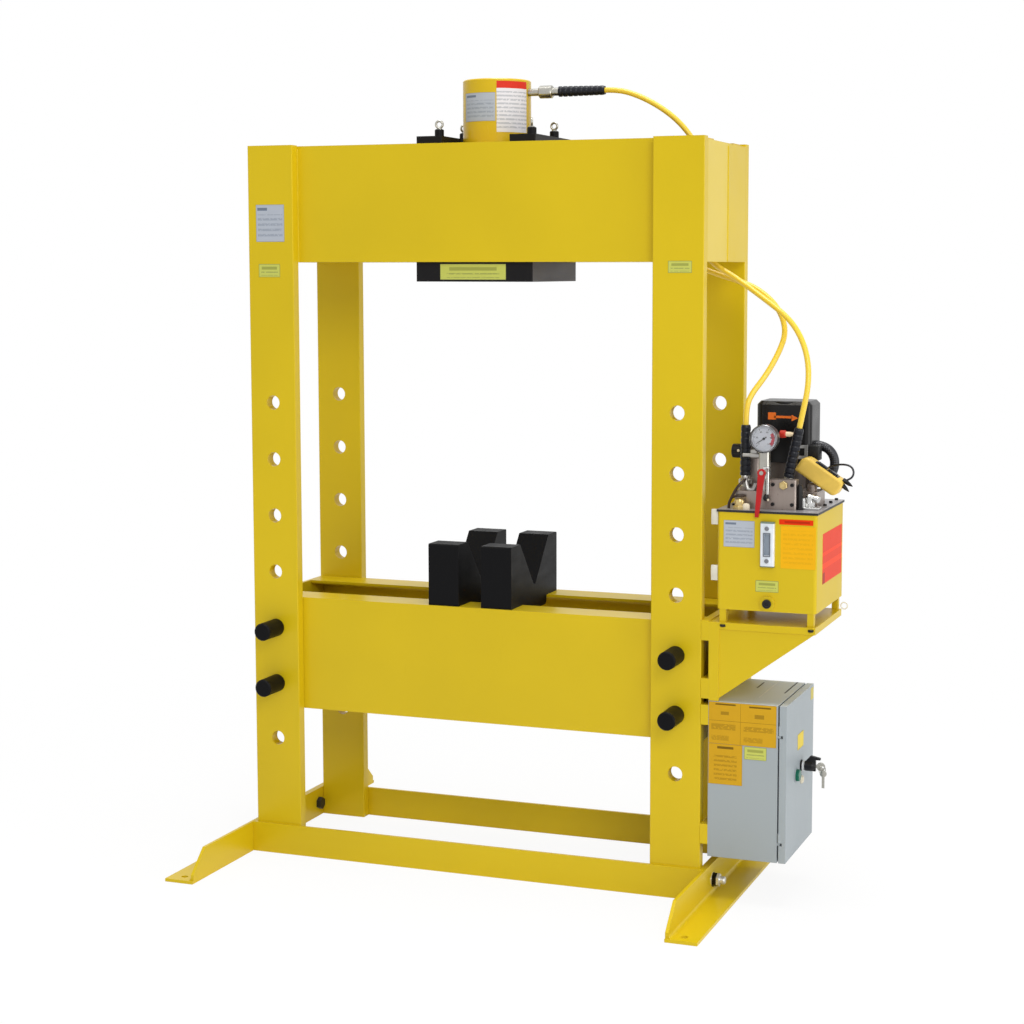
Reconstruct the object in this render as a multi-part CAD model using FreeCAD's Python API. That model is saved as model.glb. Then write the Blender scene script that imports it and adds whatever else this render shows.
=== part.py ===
import FreeCAD
import Part
import math
import os

from FreeCAD import Vector

# A two-column workshop press: millimetres, +Z up, X across the press, Y to the back.
# The origin is on the floor, in the middle of the four floor anchor holes.

# ---- frame -------------------------------------------------------------------
FRAME_WIDTH = 1240.0
COLUMN_HEIGHT = 1885.0
COLUMN_WIDTH = 130.0
COLUMN_THICKNESS = 30.0
COLUMN_GAP = 356.0
COLUMN_EDGE = 1.5
PIN_HOLE_DIAMETER = 37.5
PIN_HOLE_PITCH = 150.0
PIN_HOLE_COUNT = 7
LOWEST_PIN_HOLE = 315.0

CHANNEL_HEIGHT = 300.0
CHANNEL_FLANGE = 87.0
CHANNEL_WEB = 9.5
FLANGE_TOE = 9.6
FLANGE_SLOPE = 0.1
ROOT_RADIUS = 13.5
TOE_RADIUS = 6.0
END_PLATE = 10.0
END_PLATE_DROP = 5.0
HEAD_BOTTOM = 1583.0
BED_BOTTOM = 395.0
BED_END_GAP = 5.0
BED_SLACK = 1.0

# ---- floor ties and feet --------------------------------------------------------
TIE_HEIGHT = 80.0
TIE_THICKNESS = 8.0
SPACER_THICKNESS = 10.0
ANGLE_LEG = 80.0
ANGLE_THICKNESS = 8.0
ANGLE_ROOT_RADIUS = 8.0
FOOT_LENGTH = 1072.0
FOOT_CUT_LENGTH = 62.0
FOOT_CUT_START = 6.0
FOOT_CUT_FOOT = 22.0
ANCHOR_HOLE_DIAMETER = 18.0
ANCHOR_INSET = 30.0
ANCHOR_FROM_LEG = 40.0
FOOT_BOLT_DIAMETER = 20.0
FOOT_BOLT_SPREAD = 150.0
FOOT_BOLT_HEIGHT = 38.0
FOOT_BOLT_TAIL = 14.0
FOOT_BOLT_HOLE = 20.6
HEX_HEAD_ACROSS = 30.0
HEX_HEAD_HEIGHT = 12.5
HEX_NUT_HEIGHT = 16.0
WASHER_RADIUS = 18.5
WASHER_THICKNESS = 3.0

# ---- head plates and cylinder --------------------------------------------------
CLAMP_BAR_WIDTH = 70.0
CLAMP_BAR_LENGTH = 300.0
CLAMP_BAR_THICKNESS = 20.0
BOTTOM_PLATE_WIDTH = 320.0
BOTTOM_PLATE_DEPTH = 324.0
BOTTOM_PLATE_THICKNESS = 50.0
PLATE_EDGE = 2.0
CLAMP_BOLT_X = 128.0
CLAMP_BOLT_FLANGE_GAP = 1.0
CLAMP_BOLT_DIAMETER = 16.0
CLAMP_BOLT_HOLE = 16.6
CLAMP_BOLT_DEPTH = 30.0
CLAMP_HEAD_DIAMETER = 24.0
CLAMP_HEAD_HEIGHT = 21.0
CLAMP_HEAD_EDGE = 2.0
EYE_SHANK_RADIUS = 4.0
EYE_SHANK_LENGTH = 12.0
EYE_RING_RADIUS = 8.6
EYE_WIRE_RADIUS = 2.9
EYE_COLLAR_RADIUS = 8.0
EYE_COLLAR_HEIGHT = 4.0
EYE_TURN_DEGREES = {"front_left": 20.0, "front_right": 110.0, "rear_left": 50.0, "rear_right": -5.0}
THREAD_GAP = 0.05

BARREL_DIAMETER = 177.0
BARREL_TOP = 2050.0
BARREL_BORE = 133.0
BARREL_CAP = 45.0
BARREL_EDGE = 3.0
NECK_DIAMETER = 164.0
NECK_GAP = 0.3
GLAND_HEIGHT = 40.0
GLAND_INSET = 5.0
GLAND_WIPER_DEPTH = 6.0
ROD_DIAMETER = 95.0
PISTON_HEIGHT = 45.0
PISTON_GROOVE_DEPTH = 3.0
PISTON_GROOVE_HEIGHT = 9.0
FIT_GAP = 0.05
SADDLE_DIAMETER = 88.0
SADDLE_THICKNESS = 12.0
SADDLE_INSET = 3.0
SADDLE_STEM_RADIUS = 15.0
SADDLE_STEM_LENGTH = 16.0
SADDLE_GROOVE_DEPTH = 2.0
SADDLE_GROOVE_RADII = (14.0, 24.0, 34.0)
SADDLE_GROOVE_WIDTH = 3.0
UPPER_PORT_DROP = 32.0
LOWER_PORT_RISE = 42.0
PORT_RADIUS = 8.0
PORT_THREAD_LENGTH = 10.0
PORT_DRILL_RADIUS = 4.0
PORT_DRILL_X = 45.0

# ---- hoses ---------------------------------------------------------------------
HOSE_DIAMETER = 14.0
COUPLER_NECK_RADIUS = 9.5
COUPLER_NECK_LENGTH = 30.0
COUPLER_COLLAR_RADIUS = 16.5
COUPLER_COLLAR_LENGTH = 36.0
COUPLER_COLLAR_EDGE = 2.5
COUPLER_NOSE_RADIUS = 10.5
COUPLER_NOSE_LENGTH = 18.0
SHORT_NECK_LENGTH = 6.0
SHORT_COLLAR_LENGTH = 14.0
SHORT_NOSE_LENGTH = 8.0
SLEEVE_LENGTH = 124.0
SLEEVE_RADIUS = 13.5
SLEEVE_VALLEY_RADIUS = 11.8
SLEEVE_TIP_RADIUS = 10.5
SLEEVE_RIBS = 8
SLEEVE_END = 6.0
HOSE_LEAD = 38.0
ARC_SHARE = 0.45

# ---- V-blocks and bed pins -----------------------------------------------------
BLOCK_WIDTH = 84.0
BLOCK_LENGTH = 336.0
BLOCK_HEIGHT = 161.0
BLOCK_SHIFT = -4.0
BLOCK_LEFT_X = -85.0
BLOCK_RIGHT_X = 62.0
BLOCK_EDGE = 3.0
VEE_HALF_OPENING = 104.0
VEE_DEPTH = 118.0
VEE_FLAT = 6.0
TONGUE_DEPTH = 24.0
TONGUE_PLAY = 4.0
TONGUE_CHAMFER = 8.0
BED_PIN_PLAY = 0.55
BED_PIN_HEAD_DIAMETER = 46.5
BED_PIN_HEAD_LENGTH = 80.0
BED_PIN_REAR = 20.0
BED_PIN_CHAMFER = 3.0
BED_PIN_ROW_COUNT = 2
FREE_HOLE_COUNT_BELOW = 1

# ---- side rails and pump bracket -------------------------------------------------
RAIL_THICKNESS = 20.0
RAIL_HEIGHT = 50.0
BRACKET_RAIL_TOP = 657.0
BRACKET_RAIL_LOW = 512.0
BOX_RAIL_TOP = 446.0
BOX_RAIL_LOW = 145.0
BRACKET_BACK = 6.0
BRACKET_DEPTH = 298.0
TRAY_TOP = 704.0
TRAY_SHEET = 4.0
TRAY_REACH = 259.0
TRAY_LIP = 17.0
LIP_SHEET = 3.0
GUSSET_SHEET = 5.0
GUSSET_FOOT = 508.0
STIFFENER_WIDTH = 25.0
STIFFENER_PROUD = 3.0

# ---- pump ------------------------------------------------------------------------
TANK_FROM_MOUNT = 18.0
TANK_WIDTH = 247.0
TANK_FRONT_GAP = 5.0
TANK_DEPTH = 300.0
TANK_HEIGHT = 240.0
TANK_WALL = 3.0
TANK_CORNER = 8.0
TANK_FOOT = 16.0
TANK_FOOT_INSET = 6.0
TANK_FOOT_HEIGHT = 33.0
COVER_THICKNESS = 6.0
COVER_PROUD = 2.0
SIGHT_FROM_LEFT = 127.0
SIGHT_WIDTH = 34.0
SIGHT_HEIGHT = 111.0
SIGHT_DROP = 19.0
SIGHT_DEPTH = 12.0
SIGHT_WINDOW_WIDTH = 14.0
SIGHT_WINDOW_HEIGHT = 52.0
SIGHT_WINDOW_DEPTH = 5.0
SIGHT_SCREW_RADIUS = 7.0
SIGHT_SCREW_INSET = 16.0
DRAIN_RISE = 20.0
DRAIN_BOSS_RADIUS = 18.0
DRAIN_BOSS_LENGTH = 6.0
DRAIN_PLUG_RADIUS = 11.0
DRAIN_PLUG_HEAD = 6.0
DRAIN_PLUG_SHANK = 8.0
DRAIN_HEX_ACROSS = 10.0

VALVE_FROM_LEFT = 32.0
VALVE_WIDTH = 153.0
VALVE_FRONT = -165.0
VALVE_DEPTH = 115.0
VALVE_HEIGHT = 43.0
VALVE_EDGE = 3.0
MANIFOLD_FROM_LEFT = 117.0
MANIFOLD_WIDTH = 68.0
MANIFOLD_DEPTH = 33.0
MANIFOLD_RISE = 30.0
POST_FROM_LEFT = 42.0
POST_WIDTH = 36.0
POST_FRONT = -112.0
POST_DEPTH = 36.0
POST_RISE = 108.0
KNOB_DROP = 17.0
KNOB_RADIUS = 17.5
KNOB_LENGTH = 34.0
KNOB_EDGE = 2.0
KNOB_RUNNING_GAP = 0.5
KNOB_STEM_RADIUS = 5.0
KNOB_STEM_LENGTH = 14.0
KNOB_FLUTES = 8
KNOB_FLUTE_RADIUS = 3.0

MOTOR_FROM_LEFT = 120.0
MOTOR_Y = 25.0
MOTOR_RADIUS = 52.0
MOTOR_HEIGHT = 222.0
MOTOR_FLANGE_RADIUS = 62.0
MOTOR_FLANGE_HEIGHT = 14.0
SHROUD_WIDTH = 140.0
SHROUD_DEPTH = 118.0
SHROUD_RISE = 102.0
SHROUD_HEIGHT = 153.0
SHROUD_WALL = 3.0
SHROUD_CORNER = 18.0
SHROUD_RIB = 2.0
SHROUD_RIB_HEIGHT = 12.0

GAUGE_FROM_LEFT = 105.0
GAUGE_RISE = 172.0
GAUGE_BACK = -144.0
GAUGE_RADIUS = 34.5
GAUGE_DEPTH = 32.0
GAUGE_WALL = 2.5
GAUGE_FACE_DEPTH = 9.0
LENS_THICKNESS = 2.0
LENS_SEAT = 1.5
NEEDLE_THICKNESS = 1.0
NEEDLE_LENGTH = 24.0
NEEDLE_TAIL = 8.0
NEEDLE_HALF_WIDTH = 1.3
NEEDLE_HUB_RADIUS = 3.2
NEEDLE_GAP = 1.0
NEEDLE_REST_DEGREES = 213.0
ARBOR_RADIUS = 1.5
ARBOR_LENGTH = 10.0
ADAPTER_WIDTH = 24.0
ADAPTER_DEPTH = 24.0
ADAPTER_FRONT = -168.0
ADAPTER_BELOW_LEVER = 12.0
STEM_RADIUS = 4.5
LEVER_FROM_GAUGE = 6.0
LEVER_RISE = 93.0
LEVER_STEM_RADIUS = 5.0
LEVER_STEM_LENGTH = 48.0
LEVER_HUB_RADIUS = 10.0
LEVER_THICKNESS = 7.0
LEVER_LENGTH = 108.0
LEVER_TOP_HALF = 8.5
LEVER_TIP_HALF = 4.5
LEVER_LEAN = 11.0

SIDE_VALVE_WIDTH = 38.0
SIDE_VALVE_DEPTH = 84.0
SIDE_VALVE_FRONT = -98.0
SIDE_VALVE_HEIGHT = 38.0
SIDE_CAP_FROM_LEFT = 204.0
SIDE_CAP_RADIUS = 12.0
SIDE_CAP_TOP_RADIUS = 6.0
SIDE_CAP_HEIGHT = 21.5
PENDANT_ANGLE = 33.0
PENDANT_LENGTH = 120.0
PENDANT_HEIGHT = 46.0
PENDANT_DEPTH = 46.0
PENDANT_FRONT = -93.0
PENDANT_OVERHANG = 63.0
PENDANT_EDGE = 8.0
PENDANT_LOW_ROUNDING = 15.0
PENDANT_CABLE_ROUNDING = 12.0
PENDANT_TOP_ROUNDING = 20.0
PENDANT_SEAT_GAP = 0.3
PENDANT_BUTTON_LENGTH = 26.0
PENDANT_BUTTON_WIDTH = 14.0
PENDANT_BUTTON_SIDE = 7.0
PENDANT_BUTTON_RISE = 4.0
PENDANT_BUTTON_SINK = 6.0
PENDANT_BUTTON_GAP = 0.4
PENDANT_BUTTON_PLACES = (25.0, 56.0)
PENDANT_POCKET_DEPTH = 10.0
CABLE_DIAMETER = 5.0
CABLE_LEAD = 12.0
CABLE_END_FROM_LEFT = 217.0
CABLE_END_Y = -25.0
GLAND_INSET = 10.0
GLAND_RISE = 38.0
GLAND_TILT = 53.0
GLAND_LENGTH = 12.0
GLAND_ROOT_RADIUS = 6.0
GLAND_TIP_RADIUS = 4.0
CONDUIT_DIAMETER = 24.0
CONDUIT_TOP_RISE = 143.0
CONDUIT_LOW_RISE = 47.0
CONDUIT_LEAD = 15.0
TERMINAL_WIDTH = 34.0
TERMINAL_REACH = 6.0

# ---- control box -------------------------------------------------------------------
BOX_DEPTH = 290.0
BOX_HEIGHT = 392.0
BOX_BOTTOM = 115.0
BOX_BODY = 176.0
BOX_SHEET = 2.0
BOX_RIM_INSET = 12.0
BOX_RIM_RISE = 10.0
DOOR_GAP = 4.0
DOOR_THICKNESS = 18.0
HINGE_OFFSET_X = 1.0
HINGE_OFFSET_Y = 3.0
HINGE_PIN_RADIUS = 2.0
HINGE_RUNNING_GAP = 0.05
KNUCKLE_RADIUS = 3.8
KNUCKLE_HEIGHT = 24.0
HINGE_ARM_HEIGHT = 6.0
HINGE_ARM_PLAY = 0.5
HINGE_INSET = 50.0
HINGE_NOTCH = 9.0
SWITCH_FROM_FRONT = 156.0
SWITCH_HEIGHT = 325.0
SWITCH_RADIUS = 14.0
SWITCH_BEZEL = 5.0
SWITCH_NECK_INSET = 2.0
SWITCH_BODY_LENGTH = 38.0
SWITCH_NOSE_INSET = 6.0
SWITCH_NOSE_LENGTH = 8.0
SWITCH_STEM_RADIUS = 6.0
SWITCH_BODY_DEPTH = 30.0
SWITCH_GRIP_HALF = 4.5
SWITCH_GRIP_START = 12.0
SWITCH_GRIP_UP = 27.0
SWITCH_GRIP_DOWN = 12.0
SWITCH_WING_REACH = 12.0
SWITCH_WING_WIDTH = 5.0
DRUM_SHARE = 0.8
BUTTON_FROM_FRONT = 98.0
BUTTON_HEIGHT = 314.0
BUTTON_RADIUS = 15.0
BUTTON_RISE = 12.0
BUTTON_EDGE = 2.0
BUTTON_STEM_RADIUS = 6.0
BUTTON_STEM_LENGTH = 20.0
BUTTON_COLLAR_RADIUS = 18.0
BUTTON_COLLAR_HEIGHT = 3.0
LAMP_FROM_FRONT = 160.0
LAMP_HEIGHT = 288.0
LAMP_RADIUS = 11.0
LAMP_LEDGE = 2.0
LAMP_RISE = 7.0
LAMP_DEPTH = 22.0
SEAT_GAP = 0.3
KEY_BOW_RADIUS = 11.0
KEY_THICKNESS = 2.4
KEY_BLADE_LENGTH = 16.0
KEY_BLADE_WIDTH = 7.0
KEY_HOLE_RADIUS = 3.0
CONTACTOR_WIDTH = 90.0
CONTACTOR_HEIGHT = 84.0
CONTACTOR_DEPTH = 86.0
CONTACTOR_STEP = 22.0
CONTACTOR_RISE = 24.0
CONTACTOR_INSET = 40.0

# ---- worked-out places ------------------------------------------------------------
HALF_WIDTH = FRAME_WIDTH / 2
INNER_Y = COLUMN_GAP / 2
OUTER_Y = INNER_Y + COLUMN_THICKNESS
PIN_HOLE_X = HALF_WIDTH - COLUMN_WIDTH / 2
HEAD_TOP = HEAD_BOTTOM + CHANNEL_HEIGHT
CLAMP_BOLT_Y = INNER_Y - CHANNEL_FLANGE - CLAMP_BOLT_FLANGE_GAP - CLAMP_BOLT_DIAMETER / 2
CLAMP_HEAD_BOTTOM = HEAD_TOP + CLAMP_BAR_THICKNESS
EYE_SEAT = CLAMP_HEAD_BOTTOM + CLAMP_HEAD_HEIGHT
BED_TOP = BED_BOTTOM + CHANNEL_HEIGHT
FOOT_INNER_X = HALF_WIDTH + SPACER_THICKNESS
FOOT_OUTER_X = FOOT_INNER_X + ANGLE_LEG
ANCHOR_X = FOOT_INNER_X + ANCHOR_FROM_LEG
ANCHOR_Y = FOOT_LENGTH / 2 - ANCHOR_INSET
BARREL_RADIUS = BARREL_DIAMETER / 2
BARREL_FOOT = HEAD_BOTTOM - BOTTOM_PLATE_THICKNESS
BORE_TOP = BARREL_TOP - BARREL_CAP
UPPER_PORT_Z = BARREL_TOP - UPPER_PORT_DROP
LOWER_PORT_Z = HEAD_BOTTOM + LOWER_PORT_RISE
LONG_COUPLER = COUPLER_NECK_LENGTH + COUPLER_COLLAR_LENGTH + COUPLER_NOSE_LENGTH
SHORT_COUPLER = SHORT_NECK_LENGTH + SHORT_COLLAR_LENGTH + SHORT_NOSE_LENGTH
RAIL_X = HALF_WIDTH
MOUNT_X = HALF_WIDTH + RAIL_THICKNESS
TRAY_X = MOUNT_X + BRACKET_BACK
TANK_FRONT = -OUTER_Y + TANK_FRONT_GAP
TANK_BOTTOM = TRAY_TOP + TANK_FOOT_HEIGHT
TANK_TOP = TANK_BOTTOM + TANK_HEIGHT
TANK_X = MOUNT_X + TANK_FROM_MOUNT
COVER_TOP = TANK_TOP + COVER_THICKNESS
SIGHT_X = TANK_X + SIGHT_FROM_LEFT
VALVE_X = TANK_X + VALVE_FROM_LEFT
VALVE_TOP = COVER_TOP + VALVE_HEIGHT
MANIFOLD_X = TANK_X + MANIFOLD_FROM_LEFT
POST_X = TANK_X + POST_FROM_LEFT
POST_TOP = VALVE_TOP + POST_RISE
KNOB_Y = POST_FRONT + POST_DEPTH / 2
KNOB_HEIGHT = POST_TOP - KNOB_DROP
MOTOR_X = TANK_X + MOTOR_FROM_LEFT
MOTOR_TOP = COVER_TOP + MOTOR_HEIGHT
SHROUD_FRONT = MOTOR_Y - SHROUD_DEPTH / 2
SHROUD_SIDE = MOTOR_X + SHROUD_WIDTH / 2
SHROUD_BOTTOM = COVER_TOP + SHROUD_RISE
SHROUD_TOP = SHROUD_BOTTOM + SHROUD_HEIGHT
GAUGE_X = TANK_X + GAUGE_FROM_LEFT
GAUGE_Z = COVER_TOP + GAUGE_RISE
GAUGE_FRONT = GAUGE_BACK - GAUGE_DEPTH
LEVER_X = GAUGE_X + LEVER_FROM_GAUGE
LEVER_Z = COVER_TOP + LEVER_RISE
ADAPTER_BOTTOM = LEVER_Z - ADAPTER_BELOW_LEVER
SIDE_CAP_X = TANK_X + SIDE_CAP_FROM_LEFT
CABLE_END_X = TANK_X + CABLE_END_FROM_LEFT
CONDUIT_TOP = COVER_TOP + CONDUIT_TOP_RISE
CONDUIT_LOW = COVER_TOP + CONDUIT_LOW_RISE
BOX_FRONT = -OUTER_Y
BOX_FACE = MOUNT_X + BOX_BODY
DOOR_BACK = BOX_FACE + DOOR_GAP
DOOR_FACE = DOOR_BACK + DOOR_THICKNESS
HINGE_X = DOOR_BACK + HINGE_OFFSET_X
HINGE_Y = BOX_FRONT + HINGE_OFFSET_Y

# Where each hose leaves its sleeve, and the points that its route is bent around.
PUMP_SLEEVE_TIPS = {
    "advance": (Vector(TANK_X + 179, -110, VALVE_TOP + 153), Vector(TANK_X + 154, -110, VALVE_TOP + 34)),
    "retract": (Vector(TANK_X + 50, -130, VALVE_TOP + 159), Vector(TANK_X + 50, -130, VALVE_TOP + 32)),
}
ADVANCE_ROUTE = (
    (388, 0, 2001), (440, 0, 1974), (488, 0, 1939), (526, 0, 1896),
    (552, 1, 1846), (559, -1, 1784), (552, -2, 1718), (543, -3, 1657), (558, -4, 1611),
    (591, -6, 1575), (636, -12, 1550), (682, -21, 1521), (735, -36, 1486),
    (790, -52, 1448), (826, -66, 1405), (850, -82, 1348), (856, -98, 1284),
)
RETRACT_ROUTE = (
    (400, 11, 1617), (460, 20, 1600), (530, 26, 1575),
    (590, 25, 1552), (645, 20, 1536), (692, 13, 1519), (738, 1, 1487),
    (768, -14, 1449), (782, -34, 1406), (772, -62, 1360), (748, -90, 1306),
    (716, -120, 1257),
)
CABLE_ROUTE = (
    (963, -69, 1062), (964, -67, 1073), (958.5, -64, 1082.5), (948.5, -60, 1087), (934.5, -55, 1088),
    (917.5, -49, 1086), (901, -42, 1081), (888, -35, 1072), (880, -29, 1059),
)
CONDUIT_ROUTE = (
    (887, 26, 1113), (898, 27, 1086), (891, 26, 1056), (872, 25, 1037),
)


# ---- helpers ------------------------------------------------------------------------
def block(x, y, z):
    """A box between the two values of each pair."""
    corner = Vector(min(x), min(y), min(z))
    return Part.makeBox(abs(x[1] - x[0]), abs(y[1] - y[0]), abs(z[1] - z[0]), corner)


def cylinder(radius, start, end):
    """A round bar from one point to another."""
    along = end.sub(start)
    return Part.makeCylinder(radius, along.Length, start, along)


def prism(points, sweep):
    """A flat outline of straight sides, pushed along a vector."""
    outline = Part.makePolygon(list(points) + [points[0]])
    return Part.Face(outline).extrude(sweep)


def turned(profile):
    """A solid turned about Z from (radius, height) pairs, closed back to the axis."""
    points = [Vector(radius, 0, height) for radius, height in profile]
    if points[0].x > 0:
        points.insert(0, Vector(0, 0, points[0].z))
    if points[-1].x > 0:
        points.append(Vector(0, 0, points[-1].z))
    outline = Part.makePolygon(points + [points[0]])
    return Part.Face(outline).revolve(Vector(0, 0, 0), Vector(0, 0, 1), 360)


def placed(shape, start, along):
    """The shape with its own +Z turned along a direction and its origin at a point."""
    turn = FreeCAD.Rotation(Vector(0, 0, 1), along)
    moved = shape.copy()
    moved.Placement = FreeCAD.Placement(start, turn)
    return moved


def hexagon(across, height):
    """A hexagonal prism standing on the origin."""
    corner = across / math.sqrt(3)
    angles = [math.radians(60 * step) for step in range(6)]
    points = [Vector(corner * math.cos(a), corner * math.sin(a), 0) for a in angles]
    return prism(points, Vector(0, 0, height))


def edges_along(shape, axis, places):
    """The straight edges along an axis whose other two coordinates are in the list of places."""
    others = [index for index in range(3) if index != axis]
    chosen = []
    for edge in shape.Edges:
        middle = edge.CenterOfMass
        ends = [vertex.Point for vertex in edge.Vertexes]
        if len(ends) < 2 or abs((ends[1] - ends[0])[axis]) < 0.99 * edge.Length:
            continue
        here = [middle[index] for index in others]
        if any(math.dist(here, place) < 0.01 for place in places):
            chosen.append(edge)
    return chosen


def upright_edges(shape):
    """Every straight edge that runs up and down."""
    return [edge for edge in shape.Edges
            if len(edge.Vertexes) == 2
            and abs(edge.Vertexes[1].Z - edge.Vertexes[0].Z) > 0.99 * edge.Length]


def mirrored(shape):
    """The same piece on the other side of the press."""
    return shape.mirror(Vector(0, 0, 0), Vector(1, 0, 0))


def both_sides(shape):
    return Part.makeCompound([shape, mirrored(shape)])


def save(name, shape):
    shape.exportStep(os.path.join("parts", name + ".step"))


# ---- frame ---------------------------------------------------------------------------
def pin_hole_heights():
    return [LOWEST_PIN_HOLE + PIN_HOLE_PITCH * step for step in range(PIN_HOLE_COUNT)]


def column(near_y, far_y):
    """Flat bar with rounded-off edges and a row of pin holes, on the right-hand side."""
    left = HALF_WIDTH - COLUMN_WIDTH
    bar = block((left, HALF_WIDTH), (near_y, far_y), (0, COLUMN_HEIGHT))
    bar = bar.makeChamfer(COLUMN_EDGE, upright_edges(bar))
    holes = [cylinder(PIN_HOLE_DIAMETER / 2, Vector(PIN_HOLE_X, near_y, height),
                      Vector(PIN_HOLE_X, far_y, height)) for height in pin_hole_heights()]
    return bar.cut(holes)


def channel(length, bottom, back_y, facing):
    """Hot-rolled channel along X: web at back_y, tapered flanges towards facing (+1 or -1)."""
    root = FLANGE_TOE + (CHANNEL_FLANGE - CHANNEL_WEB) * FLANGE_SLOPE
    top = bottom + CHANNEL_HEIGHT
    web_y = back_y + facing * CHANNEL_WEB
    tip_y = back_y + facing * CHANNEL_FLANGE
    roots = [(web_y, bottom + root), (web_y, top - root)]
    toes = [(tip_y, bottom + FLANGE_TOE), (tip_y, top - FLANGE_TOE)]
    outline = [(back_y, bottom), (tip_y, bottom), toes[0], roots[0],
               roots[1], toes[1], (tip_y, top), (back_y, top)]
    section = [Vector(-length / 2, y, z) for y, z in outline]
    solid = prism(section, Vector(length, 0, 0))
    solid = solid.makeFillet(ROOT_RADIUS, edges_along(solid, 0, roots))
    return solid.makeFillet(TOE_RADIUS, edges_along(solid, 0, toes))


def head_channel(side_y):
    length = FRAME_WIDTH - 2 * END_PLATE
    return channel(length, HEAD_BOTTOM, side_y * INNER_Y, -side_y)


def bed_pin_heights():
    return [LOWEST_PIN_HOLE + PIN_HOLE_PITCH * (FREE_HOLE_COUNT_BELOW + row) for row in range(BED_PIN_ROW_COUNT)]


def bed_channel(side_y):
    """Bed channel with the four holes that the bed pins pass through."""
    length = FRAME_WIDTH - 2 * (BED_END_GAP + END_PLATE)
    back_y = side_y * (INNER_Y - BED_SLACK)
    bar = channel(length, BED_BOTTOM, back_y, -side_y)
    holes = [cylinder(PIN_HOLE_DIAMETER / 2, Vector(side_x * PIN_HOLE_X, back_y + CHANNEL_FLANGE, height),
                      Vector(side_x * PIN_HOLE_X, back_y - CHANNEL_FLANGE, height))
             for side_x in (-1, 1) for height in bed_pin_heights()]
    return bar.cut(holes)


def head_end_plates():
    plate = block((HALF_WIDTH - END_PLATE, HALF_WIDTH), (-INNER_Y, INNER_Y),
                  (HEAD_BOTTOM, HEAD_TOP - END_PLATE_DROP))
    return both_sides(plate)


def bed_end_plates():
    outer = HALF_WIDTH - BED_END_GAP
    half_depth = INNER_Y - BED_SLACK
    plate = block((outer - END_PLATE, outer), (-half_depth, half_depth), (BED_BOTTOM, BED_TOP))
    return both_sides(plate)


# ---- floor ties and feet -----------------------------------------------------------
def base_ties():
    """Flat bars across the front and the back of the column feet."""
    bars = [block((-FOOT_INNER_X, FOOT_INNER_X), (side * OUTER_Y, side * (OUTER_Y + TIE_THICKNESS)),
                  (0, TIE_HEIGHT)) for side in (-1, 1)]
    return Part.makeCompound(bars)


def foot_bolt_axis(side_y, from_x, to_x):
    y = side_y * FOOT_BOLT_SPREAD
    return Vector(from_x, y, FOOT_BOLT_HEIGHT), Vector(to_x, y, FOOT_BOLT_HEIGHT)


def drilled_for_foot_bolts(plate):
    span = 2 * ANGLE_LEG
    holes = [cylinder(FOOT_BOLT_HOLE / 2, *foot_bolt_axis(side, HALF_WIDTH - span, HALF_WIDTH + span))
             for side in (-1, 1)]
    return plate.cut(holes)


def foot_spacers():
    bar = block((HALF_WIDTH, FOOT_INNER_X), (-OUTER_Y, OUTER_Y), (0, TIE_HEIGHT))
    return both_sides(drilled_for_foot_bolts(bar))


def foot_angle():
    """Angle along the floor, its upright leg cut down to a toe at both ends."""
    half = FOOT_LENGTH / 2
    leg_x = FOOT_INNER_X + ANGLE_THICKNESS
    root = (leg_x, ANGLE_THICKNESS)
    outline = [(FOOT_INNER_X, 0), (FOOT_OUTER_X, 0), (FOOT_OUTER_X, ANGLE_THICKNESS), root,
               (leg_x, ANGLE_LEG), (FOOT_INNER_X, ANGLE_LEG)]
    angle = prism([Vector(x, -half, z) for x, z in outline], Vector(0, FOOT_LENGTH, 0))
    angle = angle.makeFillet(ANGLE_ROOT_RADIUS, edges_along(angle, 1, [root]))
    for side in (-1, 1):
        end = side * half
        cut_top = end - side * (FOOT_CUT_START + FOOT_CUT_LENGTH)
        cut_low = end - side * FOOT_CUT_START
        past = end + side
        corner = [(cut_top, ANGLE_LEG + 1), (cut_top, ANGLE_LEG), (cut_low, FOOT_CUT_FOOT),
                  (cut_low, ANGLE_THICKNESS), (past, ANGLE_THICKNESS), (past, ANGLE_LEG + 1)]
        start = FOOT_INNER_X - 1
        angle = angle.cut(prism([Vector(start, y, z) for y, z in corner], Vector(ANGLE_LEG, 0, 0)))
        hole = Vector(ANCHOR_X, side * ANCHOR_Y, 0)
        angle = angle.cut(cylinder(ANCHOR_HOLE_DIAMETER / 2, hole, hole + Vector(0, 0, ANGLE_LEG)))
    return drilled_for_foot_bolts(angle)


def foot_bolt():
    """Hexagon bolt along +Z from under its head, with washer and nut on the far side of the joint."""
    grip = SPACER_THICKNESS + ANGLE_THICKNESS
    radius = FOOT_BOLT_DIAMETER / 2
    shank_end = grip + WASHER_THICKNESS + HEX_NUT_HEIGHT + FOOT_BOLT_TAIL
    head = hexagon(HEX_HEAD_ACROSS, HEX_HEAD_HEIGHT)
    head.translate(Vector(0, 0, -HEX_HEAD_HEIGHT))
    shank = turned([(radius, 0), (radius, shank_end - 2), (radius - 2, shank_end)])
    bolt = head.fuse(shank).removeSplitter()
    hole = cylinder(radius + THREAD_GAP, Vector(0, 0, 0), Vector(0, 0, 2 * shank_end))
    washer = cylinder(WASHER_RADIUS, Vector(0, 0, grip), Vector(0, 0, grip + WASHER_THICKNESS)).cut(hole)
    nut = hexagon(HEX_HEAD_ACROSS, HEX_NUT_HEIGHT)
    nut.translate(Vector(0, 0, grip + WASHER_THICKNESS))
    return [bolt, washer, nut.cut(hole)]


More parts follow.
